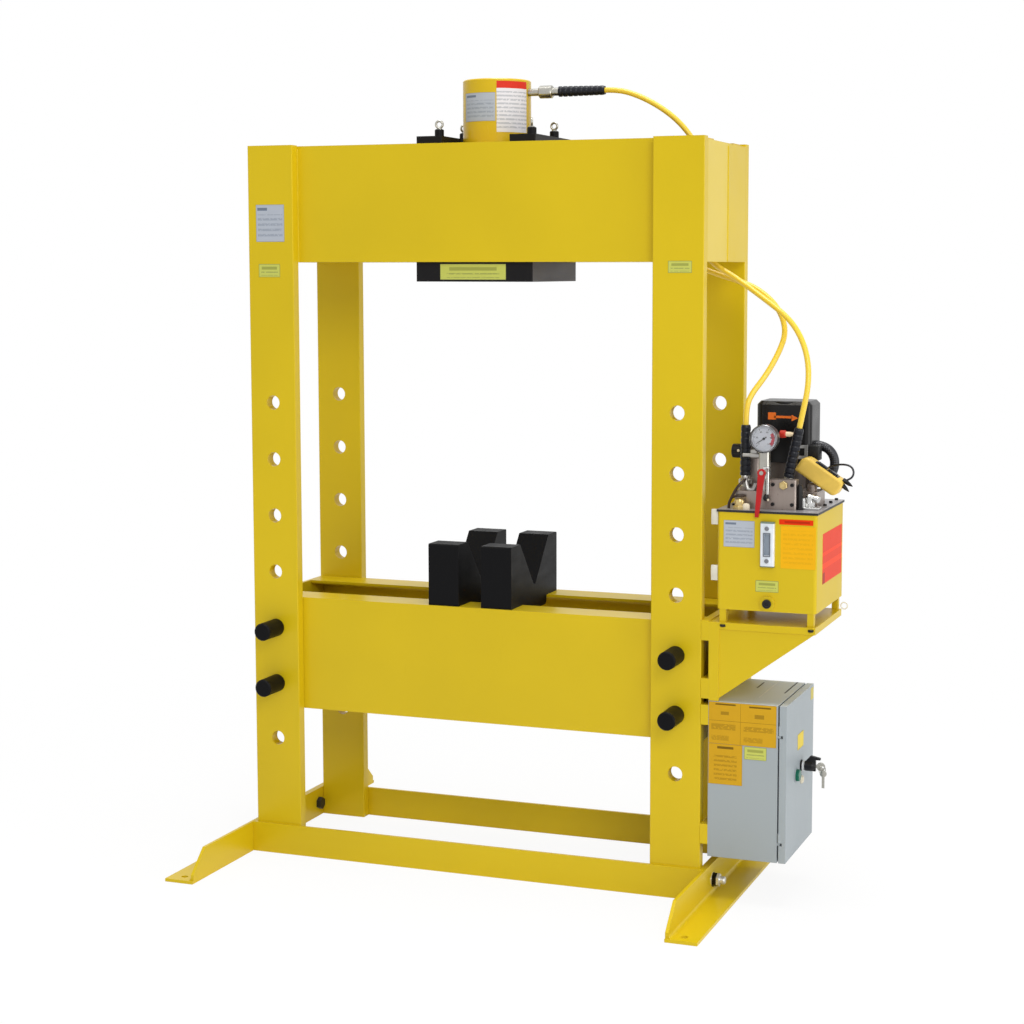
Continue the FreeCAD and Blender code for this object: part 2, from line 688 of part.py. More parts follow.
def foot_fasteners():
    solids = []
    for side_x in (-1, 1):
        for side_y in (-1, 1):
            start, end = foot_bolt_axis(side_y, side_x * HALF_WIDTH, side_x * FOOT_OUTER_X)
            solids += [placed(solid, start, end - start) for solid in foot_bolt()]
    return Part.makeCompound(solids)


# ---- head plates and cylinder --------------------------------------------------------
def clamp_bolt_places():
    """Where the four bolts stand, by name: just inside the channels' flange tips, clear of the barrel."""
    return {"front_left": (-CLAMP_BOLT_X, -CLAMP_BOLT_Y), "front_right": (CLAMP_BOLT_X, -CLAMP_BOLT_Y),
            "rear_left": (-CLAMP_BOLT_X, CLAMP_BOLT_Y), "rear_right": (CLAMP_BOLT_X, CLAMP_BOLT_Y)}


def drilled_for_clamp_bolts(plate, radius, low, high):
    holes = [cylinder(radius, Vector(x, y, low), Vector(x, y, high)) for x, y in clamp_bolt_places().values()]
    return plate.cut(holes)


def top_clamp_bars():
    """A bar over both head channels on each side of the cylinder, pulled down by two bolts."""
    half = CLAMP_BAR_LENGTH / 2
    bar = block((CLAMP_BOLT_X - CLAMP_BAR_WIDTH / 2, CLAMP_BOLT_X + CLAMP_BAR_WIDTH / 2), (-half, half),
                (HEAD_TOP, CLAMP_HEAD_BOTTOM))
    bar = bar.makeChamfer(PLATE_EDGE, upright_edges(bar))
    return drilled_for_clamp_bolts(both_sides(bar), CLAMP_BOLT_HOLE / 2, HEAD_TOP, CLAMP_HEAD_BOTTOM)


def bottom_clamp_plate():
    """Thick plate under the head that the cylinder's neck and the four clamp bolts are screwed into."""
    x = BOTTOM_PLATE_WIDTH / 2
    y = BOTTOM_PLATE_DEPTH / 2
    plate = block((-x, x), (-y, y), (BARREL_FOOT, HEAD_BOTTOM))
    plate = plate.makeChamfer(PLATE_EDGE, upright_edges(plate))
    plate = plate.cut(cylinder(NECK_DIAMETER / 2 + NECK_GAP, Vector(0, 0, BARREL_FOOT), Vector(0, 0, HEAD_BOTTOM)))
    return drilled_for_clamp_bolts(plate, CLAMP_BOLT_DIAMETER / 2 + THREAD_GAP, HEAD_BOTTOM - CLAMP_BOLT_DEPTH,
                                   HEAD_BOTTOM)


def clamp_bolt():
    """Long round-headed bolt that pulls the bars and the plate against the head, tapped for its eye."""
    shank = CLAMP_BOLT_DIAMETER / 2
    head = CLAMP_HEAD_DIAMETER / 2
    bottom = CLAMP_HEAD_BOTTOM
    eye_bore = EYE_SHANK_RADIUS + THREAD_GAP
    return turned([(shank, HEAD_BOTTOM - CLAMP_BOLT_DEPTH), (shank, bottom), (head, bottom),
                   (head, EYE_SEAT - CLAMP_HEAD_EDGE), (head - CLAMP_HEAD_EDGE, EYE_SEAT), (eye_bore, EYE_SEAT),
                   (eye_bore, EYE_SEAT - EYE_SHANK_LENGTH)])


def lifting_eye():
    """Small lifting eye: a ring standing on a collar, with its shank in the bolt's head."""
    centre = EYE_SEAT + EYE_COLLAR_HEIGHT + EYE_RING_RADIUS
    ring = Part.makeTorus(EYE_RING_RADIUS, EYE_WIRE_RADIUS, Vector(0, 0, centre), Vector(0, 1, 0))
    stub = turned([(EYE_SHANK_RADIUS, EYE_SEAT - EYE_SHANK_LENGTH + 1), (EYE_SHANK_RADIUS, EYE_SEAT),
                   (EYE_COLLAR_RADIUS, EYE_SEAT), (EYE_COLLAR_RADIUS, EYE_SEAT + 1),
                   (EYE_WIRE_RADIUS, EYE_SEAT + EYE_COLLAR_HEIGHT)])
    return ring.fuse(stub)


def clamp_bolts():
    bolts = []
    for x, y in clamp_bolt_places().values():
        bolt = clamp_bolt()
        bolt.translate(Vector(x, y, 0))
        bolts.append(bolt)
    return Part.makeCompound(bolts)


def lifting_eyes():
    """One eye in each bolt, each left turned as far as its thread let it go."""
    eyes = []
    for name, (x, y) in clamp_bolt_places().items():
        eye = lifting_eye()
        eye.rotate(Vector(0, 0, 0), Vector(0, 0, 1), EYE_TURN_DEGREES[name])
        eye.translate(Vector(x, y, 0))
        eyes.append(eye)
    return Part.makeCompound(eyes)


def cylinder_barrel():
    """Barrel with a threaded neck in the bottom plate, a blind bore and two side ports."""
    neck = NECK_DIAMETER / 2
    bore = BARREL_BORE / 2
    body = turned([(bore, BARREL_FOOT), (neck, BARREL_FOOT), (neck, HEAD_BOTTOM),
                   (BARREL_RADIUS, HEAD_BOTTOM), (BARREL_RADIUS, BARREL_TOP - BARREL_EDGE),
                   (BARREL_RADIUS - BARREL_EDGE, BARREL_TOP)])
    body = body.cut(cylinder(bore, Vector(0, 0, BARREL_FOOT - 1), Vector(0, 0, BORE_TOP)))
    upper = cylinder(PORT_RADIUS, Vector(PORT_DRILL_X, 0, UPPER_PORT_Z), Vector(BARREL_DIAMETER, 0, UPPER_PORT_Z))
    drill = cylinder(PORT_DRILL_RADIUS, Vector(PORT_DRILL_X + PORT_RADIUS, 0, BORE_TOP - 1),
                     Vector(PORT_DRILL_X + PORT_RADIUS, 0, UPPER_PORT_Z))
    lower = cylinder(PORT_RADIUS, Vector(bore / 2, 0, LOWER_PORT_Z), Vector(BARREL_DIAMETER, 0, LOWER_PORT_Z))
    return body.cut([upper, drill, lower])


def gland_bottom():
    return BARREL_FOOT + GLAND_INSET


def cylinder_gland():
    """Stop ring that is screwed into the barrel's mouth and guides the rod, with a wiper recess."""
    outer = BARREL_BORE / 2 - FIT_GAP
    inner = ROD_DIAMETER / 2 + FIT_GAP
    low = gland_bottom()
    ring = turned([(outer, low), (outer, low + GLAND_HEIGHT)])
    ring = ring.cut(cylinder(inner, Vector(0, 0, low - 1), Vector(0, 0, low + GLAND_HEIGHT + 1)))
    return ring.cut(cylinder(inner + GLAND_WIPER_DEPTH, Vector(0, 0, low - 1),
                             Vector(0, 0, low + GLAND_WIPER_DEPTH)))


def piston_bottom():
    return BORE_TOP - PISTON_HEIGHT - SEAT_GAP


def ram_piston():
    radius = BARREL_BORE / 2 - FIT_GAP
    groove = radius - PISTON_GROOVE_DEPTH
    low = piston_bottom()
    middle = low + (PISTON_HEIGHT - PISTON_GROOVE_HEIGHT) / 2
    return turned([(radius, low), (radius, middle), (groove, middle), (groove, middle + PISTON_GROOVE_HEIGHT),
                   (radius, middle + PISTON_GROOVE_HEIGHT), (radius, low + PISTON_HEIGHT)])


def saddle_face():
    return BARREL_FOOT + SADDLE_INSET


def ram_rod():
    low = saddle_face() + SADDLE_THICKNESS
    stem = SADDLE_STEM_RADIUS + FIT_GAP
    return turned([(stem, low + SADDLE_STEM_LENGTH), (stem, low), (ROD_DIAMETER / 2, low),
                   (ROD_DIAMETER / 2, piston_bottom())])


def ram_saddle():
    """Hardened pad with ring grooves, its stem held in the end of the rod."""
    face = saddle_face()
    back = face + SADDLE_THICKNESS
    profile = [(0, face)]
    for radius in SADDLE_GROOVE_RADII:
        inner = radius - SADDLE_GROOVE_WIDTH / 2
        outer = radius + SADDLE_GROOVE_WIDTH / 2
        profile += [(inner, face), (inner, face + SADDLE_GROOVE_DEPTH),
                    (outer, face + SADDLE_GROOVE_DEPTH), (outer, face)]
    profile += [(SADDLE_DIAMETER / 2 - 2, face), (SADDLE_DIAMETER / 2, face + 2), (SADDLE_DIAMETER / 2, back),
                (SADDLE_STEM_RADIUS, back), (SADDLE_STEM_RADIUS, back + SADDLE_STEM_LENGTH - SEAT_GAP)]
    return turned(profile)


# ---- hoses -----------------------------------------------------------------------------
def coupler(neck, collar, nose, thread):
    """Turned hose end along +Z: threaded stub below the seat, neck, bevelled collar and nose."""
    edge = COUPLER_COLLAR_EDGE
    ring = COUPLER_COLLAR_RADIUS
    top = neck + collar
    return turned([(PORT_RADIUS - THREAD_GAP, -thread), (PORT_RADIUS - THREAD_GAP, 0),
                   (COUPLER_NECK_RADIUS, 0), (COUPLER_NECK_RADIUS, neck), (ring - edge, neck),
                   (ring, neck + edge), (ring, top - edge), (ring - edge, top),
                   (COUPLER_NOSE_RADIUS, top), (COUPLER_NOSE_RADIUS, top + nose)])


def hose_sleeve():
    """Ribbed rubber bend guard along +Z, thinner towards the hose."""
    pitch = (SLEEVE_LENGTH - 2 * SLEEVE_END) / SLEEVE_RIBS
    profile = [(SLEEVE_RADIUS, 0), (SLEEVE_RADIUS, SLEEVE_END)]
    for rib in range(SLEEVE_RIBS):
        start = SLEEVE_END + pitch * rib
        shrink = (SLEEVE_RADIUS - SLEEVE_VALLEY_RADIUS) * rib / SLEEVE_RIBS
        profile += [(SLEEVE_VALLEY_RADIUS - shrink / 2, start + 0.25 * pitch),
                    (SLEEVE_RADIUS - shrink, start + 0.5 * pitch),
                    (SLEEVE_RADIUS - shrink, start + pitch)]
    profile.append((SLEEVE_TIP_RADIUS, SLEEVE_LENGTH))
    return turned(profile)


def cylinder_hose_ends():
    """The port places on the barrel's right-hand side, with the direction that the hose leaves in."""
    along = Vector(1, 0, 0)
    return [(Vector(BARREL_RADIUS, 0, height), along) for height in (UPPER_PORT_Z, LOWER_PORT_Z)]


def pump_hose_ends():
    """The same for the two ports in the top of the valve block."""
    ends = []
    for tip, foot in PUMP_SLEEVE_TIPS.values():
        along = (tip - foot).normalize()
        seat = tip - along * (SLEEVE_LENGTH + SHORT_COUPLER)
        ends.append((seat, along))
    return ends


def hose_couplers():
    long_ones = [placed(coupler(COUPLER_NECK_LENGTH, COUPLER_COLLAR_LENGTH, COUPLER_NOSE_LENGTH,
                                PORT_THREAD_LENGTH), seat, along) for seat, along in cylinder_hose_ends()]
    short_ones = [placed(coupler(SHORT_NECK_LENGTH, SHORT_COLLAR_LENGTH, SHORT_NOSE_LENGTH,
                                 PORT_THREAD_LENGTH / 2), seat, along) for seat, along in pump_hose_ends()]
    return Part.makeCompound(long_ones + short_ones)


def hose_sleeves():
    sleeves = [placed(hose_sleeve(), seat + along * LONG_COUPLER, along) for seat, along in cylinder_hose_ends()]
    sleeves += [placed(hose_sleeve(), seat + along * SHORT_COUPLER, along) for seat, along in pump_hose_ends()]
    return Part.makeCompound(sleeves)


def tube(name, first, route, last_end, diameter):
    """Round tube from one (point, lead) to the other, square to both ends, through a route between them.

    It has straight runs joined by arcs as large as the runs allow.
    """
    start_point, start_lead = first
    end_point, end_lead = last_end
    points = [start_point, start_point + start_lead] + [Vector(*point) for point in route]
    points += [end_point + end_lead, end_point]
    runs = [(b - a).Length for a, b in zip(points, points[1:])]
    edges = []
    radii = []
    length = 0.0
    last = points[0]
    for before, here, after, run_in, run_out in zip(points, points[1:], points[2:], runs, runs[1:]):
        back = (before - here).normalize()
        ahead = (after - here).normalize()
        half_turn = (math.pi - back.getAngle(ahead)) / 2
        tangent = ARC_SHARE * min(run_in, run_out)
        radius = tangent / math.tan(half_turn)
        inward = (back + ahead).normalize()
        start = here + back * tangent
        end = here + ahead * tangent
        middle = here + inward * (radius / math.cos(half_turn) - radius)
        edges.append(Part.LineSegment(last, start).toShape())
        edges.append(Part.Arc(start, middle, end).toShape())
        length += (start - last).Length + 2 * half_turn * radius
        radii.append(radius)
        last = end
    edges.append(Part.LineSegment(last, points[-1]).toShape())
    length += (points[-1] - last).Length
    path = Part.Wire(edges)
    ring = Part.Wire(Part.makeCircle(diameter / 2, points[0], points[1] - points[0]))
    solid = path.makePipeShell([ring], True, False)
    section = math.pi * diameter ** 2 / 4
    print(name, "length", round(length), "smallest radius / diameter", round(min(radii) / diameter, 1),
          "runs", [round(run) for run in runs], "radii", [round(radius) for radius in radii],
          "volume / (section x length)", round(solid.Volume / (section * length), 4))
    return solid


def hose(name, start, along, route):
    """One hose from its sleeve at the cylinder to its sleeve at the pump."""
    tip, foot = PUMP_SLEEVE_TIPS[name]
    rise = (tip - foot).normalize()
    return tube("hose_" + name, (start, along * HOSE_LEAD), route, (tip, rise * HOSE_LEAD), HOSE_DIAMETER)


def hose_advance():
    seat, along = cylinder_hose_ends()[0]
    start = seat + along * (LONG_COUPLER + SLEEVE_LENGTH)
    return hose("advance", start, along, ADVANCE_ROUTE)


def hose_retract():
    seat, along = cylinder_hose_ends()[1]
    start = seat + along * (LONG_COUPLER + SLEEVE_LENGTH)
    return hose("retract", start, along, RETRACT_ROUTE)


# ---- V-blocks and bed pins ----------------------------------------------------------------
def v_block(centre_x):
    """Steel block along Y with a deep V across its top and a tongue down between the channels."""
    slot = COLUMN_GAP - 2 * (BED_SLACK + CHANNEL_FLANGE)
    tongue = slot / 2 - TONGUE_PLAY
    half = BLOCK_LENGTH / 2
    top = BED_TOP + BLOCK_HEIGHT
    valley = top - VEE_DEPTH
    low = BED_TOP - TONGUE_DEPTH
    outline = [(-half, BED_TOP), (-tongue - BLOCK_SHIFT, BED_TOP), (-tongue - BLOCK_SHIFT, low + TONGUE_CHAMFER),
               (-tongue - BLOCK_SHIFT + TONGUE_CHAMFER, low), (tongue - BLOCK_SHIFT - TONGUE_CHAMFER, low),
               (tongue - BLOCK_SHIFT, low + TONGUE_CHAMFER), (tongue - BLOCK_SHIFT, BED_TOP), (half, BED_TOP),
               (half, top - BLOCK_EDGE), (half - BLOCK_EDGE, top), (VEE_HALF_OPENING, top), (VEE_FLAT, valley),
               (-VEE_FLAT, valley), (-VEE_HALF_OPENING, top), (-half + BLOCK_EDGE, top), (-half, top - BLOCK_EDGE)]
    start = centre_x - BLOCK_WIDTH / 2
    return prism([Vector(start, y + BLOCK_SHIFT, z) for y, z in outline], Vector(BLOCK_WIDTH, 0, 0))


def bed_pin(side_x, height):
    """Round pin through both columns and the bed, with a thick head against the front column."""
    shank = PIN_HOLE_DIAMETER / 2 - BED_PIN_PLAY
    head = BED_PIN_HEAD_DIAMETER / 2
    edge = BED_PIN_CHAMFER
    seat = BED_PIN_HEAD_LENGTH
    end = seat + SEAT_GAP + 2 * OUTER_Y + BED_PIN_REAR
    bar = turned([(head - edge, 0), (head, edge), (head, seat), (shank, seat), (shank, end - edge),
                  (shank - edge, end)])
    return placed(bar, Vector(side_x * PIN_HOLE_X, -OUTER_Y - SEAT_GAP - BED_PIN_HEAD_LENGTH, height),
                  Vector(0, 1, 0))


# ---- side rails and pump bracket -------------------------------------------------------------
def side_rails():
    bars = [block((RAIL_X, MOUNT_X), (-OUTER_Y, OUTER_Y), (low, low + RAIL_HEIGHT))
            for low in (BRACKET_RAIL_TOP, BRACKET_RAIL_LOW, BOX_RAIL_TOP, BOX_RAIL_LOW)]
    return Part.makeCompound(bars)


def pump_bracket():
    """Welded sheet bracket: back plate, two gussets, front stiffener and a tray with turned-down lips."""
    front = -OUTER_Y
    rear = front + BRACKET_DEPTH
    right = TRAY_X + TRAY_REACH
    sheet_low = TRAY_TOP - TRAY_SHEET
    lip_low = TRAY_TOP - TRAY_LIP
    back = block((MOUNT_X, TRAY_X), (front, rear), (GUSSET_FOOT, TRAY_TOP))
    tray = block((MOUNT_X, right), (front, rear), (sheet_low, TRAY_TOP))
    lips = [block((TRAY_X, right), (front, front + LIP_SHEET), (lip_low, TRAY_TOP)),
            block((TRAY_X, right), (rear - LIP_SHEET, rear), (lip_low, TRAY_TOP)),
            block((right - LIP_SHEET, right), (front, rear), (lip_low, TRAY_TOP))]
    outline = [(MOUNT_X, GUSSET_FOOT), (MOUNT_X, sheet_low), (right - LIP_SHEET, sheet_low),
               (right - LIP_SHEET, lip_low), (TRAY_X + END_PLATE, GUSSET_FOOT)]
    gussets = [prism([Vector(x, y, z) for x, z in outline], Vector(0, GUSSET_SHEET, 0))
               for y in (front + LIP_SHEET, rear - LIP_SHEET - GUSSET_SHEET)]
    stiffener = block((MOUNT_X, MOUNT_X + STIFFENER_WIDTH), (front, front + LIP_SHEET + STIFFENER_PROUD),
                      (GUSSET_FOOT, sheet_low))
    return back.fuse([tray, stiffener] + lips + gussets).removeSplitter()


# ---- pump --------------------------------------------------------------------------------------
def tank_shell():
    """Welded oil tank: open-topped box on four square feet, with a drain boss low on its front."""
    right = TANK_X + TANK_WIDTH
    rear = TANK_FRONT + TANK_DEPTH
    shell = block((TANK_X, right), (TANK_FRONT, rear), (TANK_BOTTOM, TANK_TOP))
    shell = shell.makeFillet(TANK_CORNER, upright_edges(shell))
    hollow = block((TANK_X + TANK_WALL, right - TANK_WALL), (TANK_FRONT + TANK_WALL, rear - TANK_WALL),
                   (TANK_BOTTOM + TANK_WALL, TANK_TOP + 1))
    hollow = hollow.makeFillet(TANK_CORNER - TANK_WALL, upright_edges(hollow))
    feet = []
    for x in (TANK_X + TANK_FOOT_INSET, right - TANK_FOOT_INSET - TANK_FOOT):
        for y in (TANK_FRONT + TANK_FOOT_INSET / 2, rear - TANK_FOOT_INSET - TANK_FOOT):
            feet.append(block((x, x + TANK_FOOT), (y, y + TANK_FOOT), (TRAY_TOP, TANK_BOTTOM + TANK_WALL / 2)))
    centre = Vector(SIGHT_X, TANK_FRONT, TANK_BOTTOM + DRAIN_RISE)
    forward = Vector(0, -1, 0)
    boss = cylinder(DRAIN_BOSS_RADIUS, centre - forward * (TANK_WALL / 2), centre + forward * DRAIN_BOSS_LENGTH)
    plug_hole = cylinder(DRAIN_PLUG_RADIUS - 2 + THREAD_GAP, centre - forward * DRAIN_BOSS_LENGTH,
                         centre + forward * (2 * DRAIN_BOSS_LENGTH))
    return shell.cut(hollow).fuse(feet + [boss]).cut(plug_hole).removeSplitter()


def tank_cover():
    return block((TANK_X - COVER_PROUD, TANK_X + TANK_WIDTH + COVER_PROUD),
                 (TANK_FRONT - COVER_PROUD, TANK_FRONT + TANK_DEPTH + COVER_PROUD), (TANK_TOP, COVER_TOP))


def sight_gauge():
    """Flat oil level gauge with a recessed window between its two screw heads."""
    top = TANK_TOP - SIGHT_DROP
    low = top - SIGHT_HEIGHT
    middle = (top + low) / 2
    face = TANK_FRONT - SIGHT_DEPTH
    body = block((SIGHT_X - SIGHT_WIDTH / 2, SIGHT_X + SIGHT_WIDTH / 2), (face, TANK_FRONT), (low, top))
    body = body.makeFillet(SIGHT_DEPTH / 4, [edge for edge in body.Edges if abs(edge.CenterOfMass.y - face) < 0.01])
    window = block((SIGHT_X - SIGHT_WINDOW_WIDTH / 2, SIGHT_X + SIGHT_WINDOW_WIDTH / 2),
                   (face - 1, face + SIGHT_WINDOW_DEPTH),
                   (middle - SIGHT_WINDOW_HEIGHT / 2, middle + SIGHT_WINDOW_HEIGHT / 2))
    screws = [cylinder(SIGHT_SCREW_RADIUS, Vector(SIGHT_X, face + 1, z), Vector(SIGHT_X, face - 2, z))
              for z in (low + SIGHT_SCREW_INSET, top - SIGHT_SCREW_INSET)]
    return body.cut(window).fuse(screws)


def drain_plug():
    seat = Vector(SIGHT_X, TANK_FRONT - DRAIN_BOSS_LENGTH, TANK_BOTTOM + DRAIN_RISE)
    shank = DRAIN_PLUG_RADIUS - 2
    plug = turned([(shank, -DRAIN_PLUG_SHANK), (shank, 0), (DRAIN_PLUG_RADIUS, 0),
                   (DRAIN_PLUG_RADIUS, DRAIN_PLUG_HEAD - 1), (DRAIN_PLUG_RADIUS - 1, DRAIN_PLUG_HEAD)])
    socket = hexagon(DRAIN_HEX_ACROSS, DRAIN_PLUG_HEAD)
    socket.translate(Vector(0, 0, DRAIN_PLUG_HEAD / 2))
    return placed(plug.cut(socket), seat, Vector(0, -1, 0))


def gauge_stem_y():
    return ADAPTER_FRONT + ADAPTER_DEPTH / 2


def valve_block():
    """Machined block on the tank cover: a post for the pressure valve, two hose ports and a side valve."""
    base = block((VALVE_X, VALVE_X + VALVE_WIDTH), (VALVE_FRONT, VALVE_FRONT + VALVE_DEPTH), (COVER_TOP, VALVE_TOP))
    base = base.makeChamfer(VALVE_EDGE, upright_edges(base))
    post = block((POST_X, POST_X + POST_WIDTH), (POST_FRONT, POST_FRONT + POST_DEPTH), (VALVE_TOP - 1, POST_TOP))
    post = post.makeChamfer(VALVE_EDGE, upright_edges(post))
    manifold = block((MANIFOLD_X, MANIFOLD_X + MANIFOLD_WIDTH), (VALVE_FRONT, VALVE_FRONT + MANIFOLD_DEPTH),
                     (COVER_TOP, VALVE_TOP + MANIFOLD_RISE))
    manifold = manifold.makeChamfer(VALVE_EDGE, upright_edges(manifold))
    seats = []
    ports = []
    for seat, along in pump_hose_ends():
        seats.append(cylinder(COUPLER_COLLAR_RADIUS, seat - along * (VALVE_HEIGHT / 2), seat))
        ports.append(cylinder(PORT_RADIUS, seat - along * PORT_THREAD_LENGTH, seat + along * SHORT_COUPLER))
    stem_hole = cylinder(STEM_RADIUS + THREAD_GAP, Vector(GAUGE_X, gauge_stem_y(), VALVE_TOP - PORT_THREAD_LENGTH),
                         Vector(GAUGE_X, gauge_stem_y(), POST_TOP))
    knob_hole = cylinder(KNOB_STEM_RADIUS + FIT_GAP, Vector(POST_X - 1, KNOB_Y, KNOB_HEIGHT),
                         Vector(POST_X + KNOB_STEM_LENGTH + 1, KNOB_Y, KNOB_HEIGHT))
    right = VALVE_X + VALVE_WIDTH
    side = block((right - 1, right + SIDE_VALVE_WIDTH), (SIDE_VALVE_FRONT, SIDE_VALVE_FRONT + SIDE_VALVE_DEPTH),
                 (COVER_TOP, COVER_TOP + SIDE_VALVE_HEIGHT))
    cap_low = COVER_TOP + SIDE_VALVE_HEIGHT - 1
    cap_top = side_cap_top()
    cap = turned([(SIDE_CAP_RADIUS, cap_low), (SIDE_CAP_RADIUS, cap_top - SIDE_CAP_TOP_RADIUS),
                  (SIDE_CAP_TOP_RADIUS, cap_top)])
    cap.translate(Vector(SIDE_CAP_X, PENDANT_FRONT + PENDANT_DEPTH / 2, 0))
    return base.fuse([post, manifold, side, cap] + seats).cut(ports + [stem_hole, knob_hole]).removeSplitter()


def side_cap_top():
    return COVER_TOP + SIDE_VALVE_HEIGHT + SIDE_CAP_HEIGHT


def pressure_knob():
    """Fluted hand knob of the pressure valve, turning on a stem in the post."""
    edge = KNOB_EDGE
    grip = turned([(KNOB_RADIUS - edge, 0), (KNOB_RADIUS, edge), (KNOB_RADIUS, KNOB_LENGTH - edge),
                   (KNOB_RADIUS - edge, KNOB_LENGTH)])
    flutes = []
    for step in range(KNOB_FLUTES):
        angle = 2 * math.pi * step / KNOB_FLUTES
        place = Vector(KNOB_RADIUS * math.cos(angle), KNOB_RADIUS * math.sin(angle), -1)
        flutes.append(cylinder(KNOB_FLUTE_RADIUS, place, place + Vector(0, 0, KNOB_LENGTH + 2)))
    stem = cylinder(KNOB_STEM_RADIUS, Vector(0, 0, -KNOB_STEM_LENGTH), Vector(0, 0, 1))
    knob = grip.cut(flutes).fuse(stem)
    return placed(knob, Vector(POST_X - KNOB_RUNNING_GAP, KNOB_Y, KNOB_HEIGHT), Vector(-1, 0, 0))


def terminal_face():
    return MOTOR_X + MOTOR_RADIUS + TERMINAL_REACH


def pump_motor():
    """Upright electric motor on a flange, with a terminal boss on its right."""
    motor = turned([(MOTOR_FLANGE_RADIUS, COVER_TOP), (MOTOR_FLANGE_RADIUS, COVER_TOP + MOTOR_FLANGE_HEIGHT),
                    (MOTOR_RADIUS, COVER_TOP + MOTOR_FLANGE_HEIGHT), (MOTOR_RADIUS, MOTOR_TOP)])
    motor.translate(Vector(MOTOR_X, MOTOR_Y, 0))
    half = TERMINAL_WIDTH / 2
    boss = block((MOTOR_X + MOTOR_RADIUS / 2, terminal_face()), (MOTOR_Y - half, MOTOR_Y + half),
                 (CONDUIT_LOW - half, CONDUIT_LOW + half))
    return motor.fuse(boss).removeSplitter()


def motor_shroud():
    """Moulded cover over the motor, open below, with an inner collar that grips the motor's top."""
    x = (MOTOR_X - SHROUD_WIDTH / 2, SHROUD_SIDE)
    y = (SHROUD_FRONT, SHROUD_FRONT + SHROUD_DEPTH)
    shell = block(x, y, (SHROUD_BOTTOM, SHROUD_TOP))
    shell = shell.makeFillet(SHROUD_CORNER, upright_edges(shell))
    rim = [edge for edge in shell.Edges if abs(edge.BoundBox.ZMin - SHROUD_TOP) < 0.01]
    shell = shell.makeChamfer(SHROUD_CORNER / 2, rim)
    wall = SHROUD_WALL
    hollow = block((x[0] + wall, x[1] - wall), (y[0] + wall, y[1] - wall), (SHROUD_BOTTOM - 1, SHROUD_TOP - wall))
    hollow = hollow.makeFillet(SHROUD_CORNER - wall, upright_edges(hollow))
    rim = [edge for edge in hollow.Edges if abs(edge.BoundBox.ZMin - SHROUD_TOP + wall) < 0.01]
    hollow = hollow.makeChamfer(SHROUD_CORNER / 2, rim)
    centre = Vector(MOTOR_X, MOTOR_Y, MOTOR_TOP - SHROUD_RIB_HEIGHT)
    collar = cylinder(MOTOR_RADIUS + SHROUD_RIB + wall, centre, Vector(MOTOR_X, MOTOR_Y, SHROUD_TOP - wall / 2))
    collar = collar.cut(cylinder(MOTOR_RADIUS + SEAT_GAP, centre, Vector(MOTOR_X, MOTOR_Y, MOTOR_TOP)))
    return shell.cut(hollow).fuse(collar).removeSplitter()


def gauge_case():
    """Round pressure gauge case along -Y, with a seat for the lens and a bearing for the needle."""
    floor = GAUGE_DEPTH - GAUGE_FACE_DEPTH
    inner = GAUGE_RADIUS - GAUGE_WALL
    bearing = ARBOR_RADIUS + FIT_GAP
    case = turned([(GAUGE_RADIUS - 3, 0), (GAUGE_RADIUS, 3), (GAUGE_RADIUS, GAUGE_DEPTH - 1),
                   (GAUGE_RADIUS - 1, GAUGE_DEPTH), (inner + LENS_SEAT, GAUGE_DEPTH),
                   (inner + LENS_SEAT, GAUGE_DEPTH - LENS_THICKNESS - LENS_SEAT),
                   (inner, GAUGE_DEPTH - LENS_THICKNESS - LENS_SEAT), (inner, floor),
                   (bearing, floor), (bearing, floor - ARBOR_LENGTH)])
    return placed(case, Vector(GAUGE_X, GAUGE_BACK, GAUGE_Z), Vector(0, -1, 0))


def gauge_lens():
    radius = GAUGE_RADIUS - GAUGE_WALL + LENS_SEAT - 2 * FIT_GAP
    low = GAUGE_DEPTH - LENS_THICKNESS - LENS_SEAT
    lens = turned([(radius, low), (radius, low + LENS_THICKNESS)])
    return placed(lens, Vector(GAUGE_X, GAUGE_BACK, GAUGE_Z), Vector(0, -1, 0))


def gauge_needle():
    """Pointer with a counterweight tail on an arbor, resting at the scale's lower left."""
    y = GAUGE_BACK - (GAUGE_DEPTH - GAUGE_FACE_DEPTH) - NEEDLE_GAP
    sweep = Vector(0, -NEEDLE_THICKNESS, 0)
    half = NEEDLE_HALF_WIDTH
    pointer = prism([Vector(-NEEDLE_TAIL, y, -half), Vector(NEEDLE_LENGTH, y, -half / 4),
                     Vector(NEEDLE_LENGTH, y, half / 4), Vector(-NEEDLE_TAIL, y, half)], sweep)
    hub = cylinder(NEEDLE_HUB_RADIUS, Vector(0, y, 0), Vector(0, y, 0) + sweep * 1.5)
    arbor_end = y + NEEDLE_GAP + ARBOR_LENGTH - 1
    arbor = cylinder(ARBOR_RADIUS, Vector(0, y - NEEDLE_THICKNESS / 2, 0), Vector(0, arbor_end, 0))
    needle = pointer.fuse([hub, arbor])
    needle.rotate(Vector(0, 0, 0), Vector(0, -1, 0), NEEDLE_REST_DEGREES)
    needle.translate(Vector(GAUGE_X, 0, GAUGE_Z))
    return needle


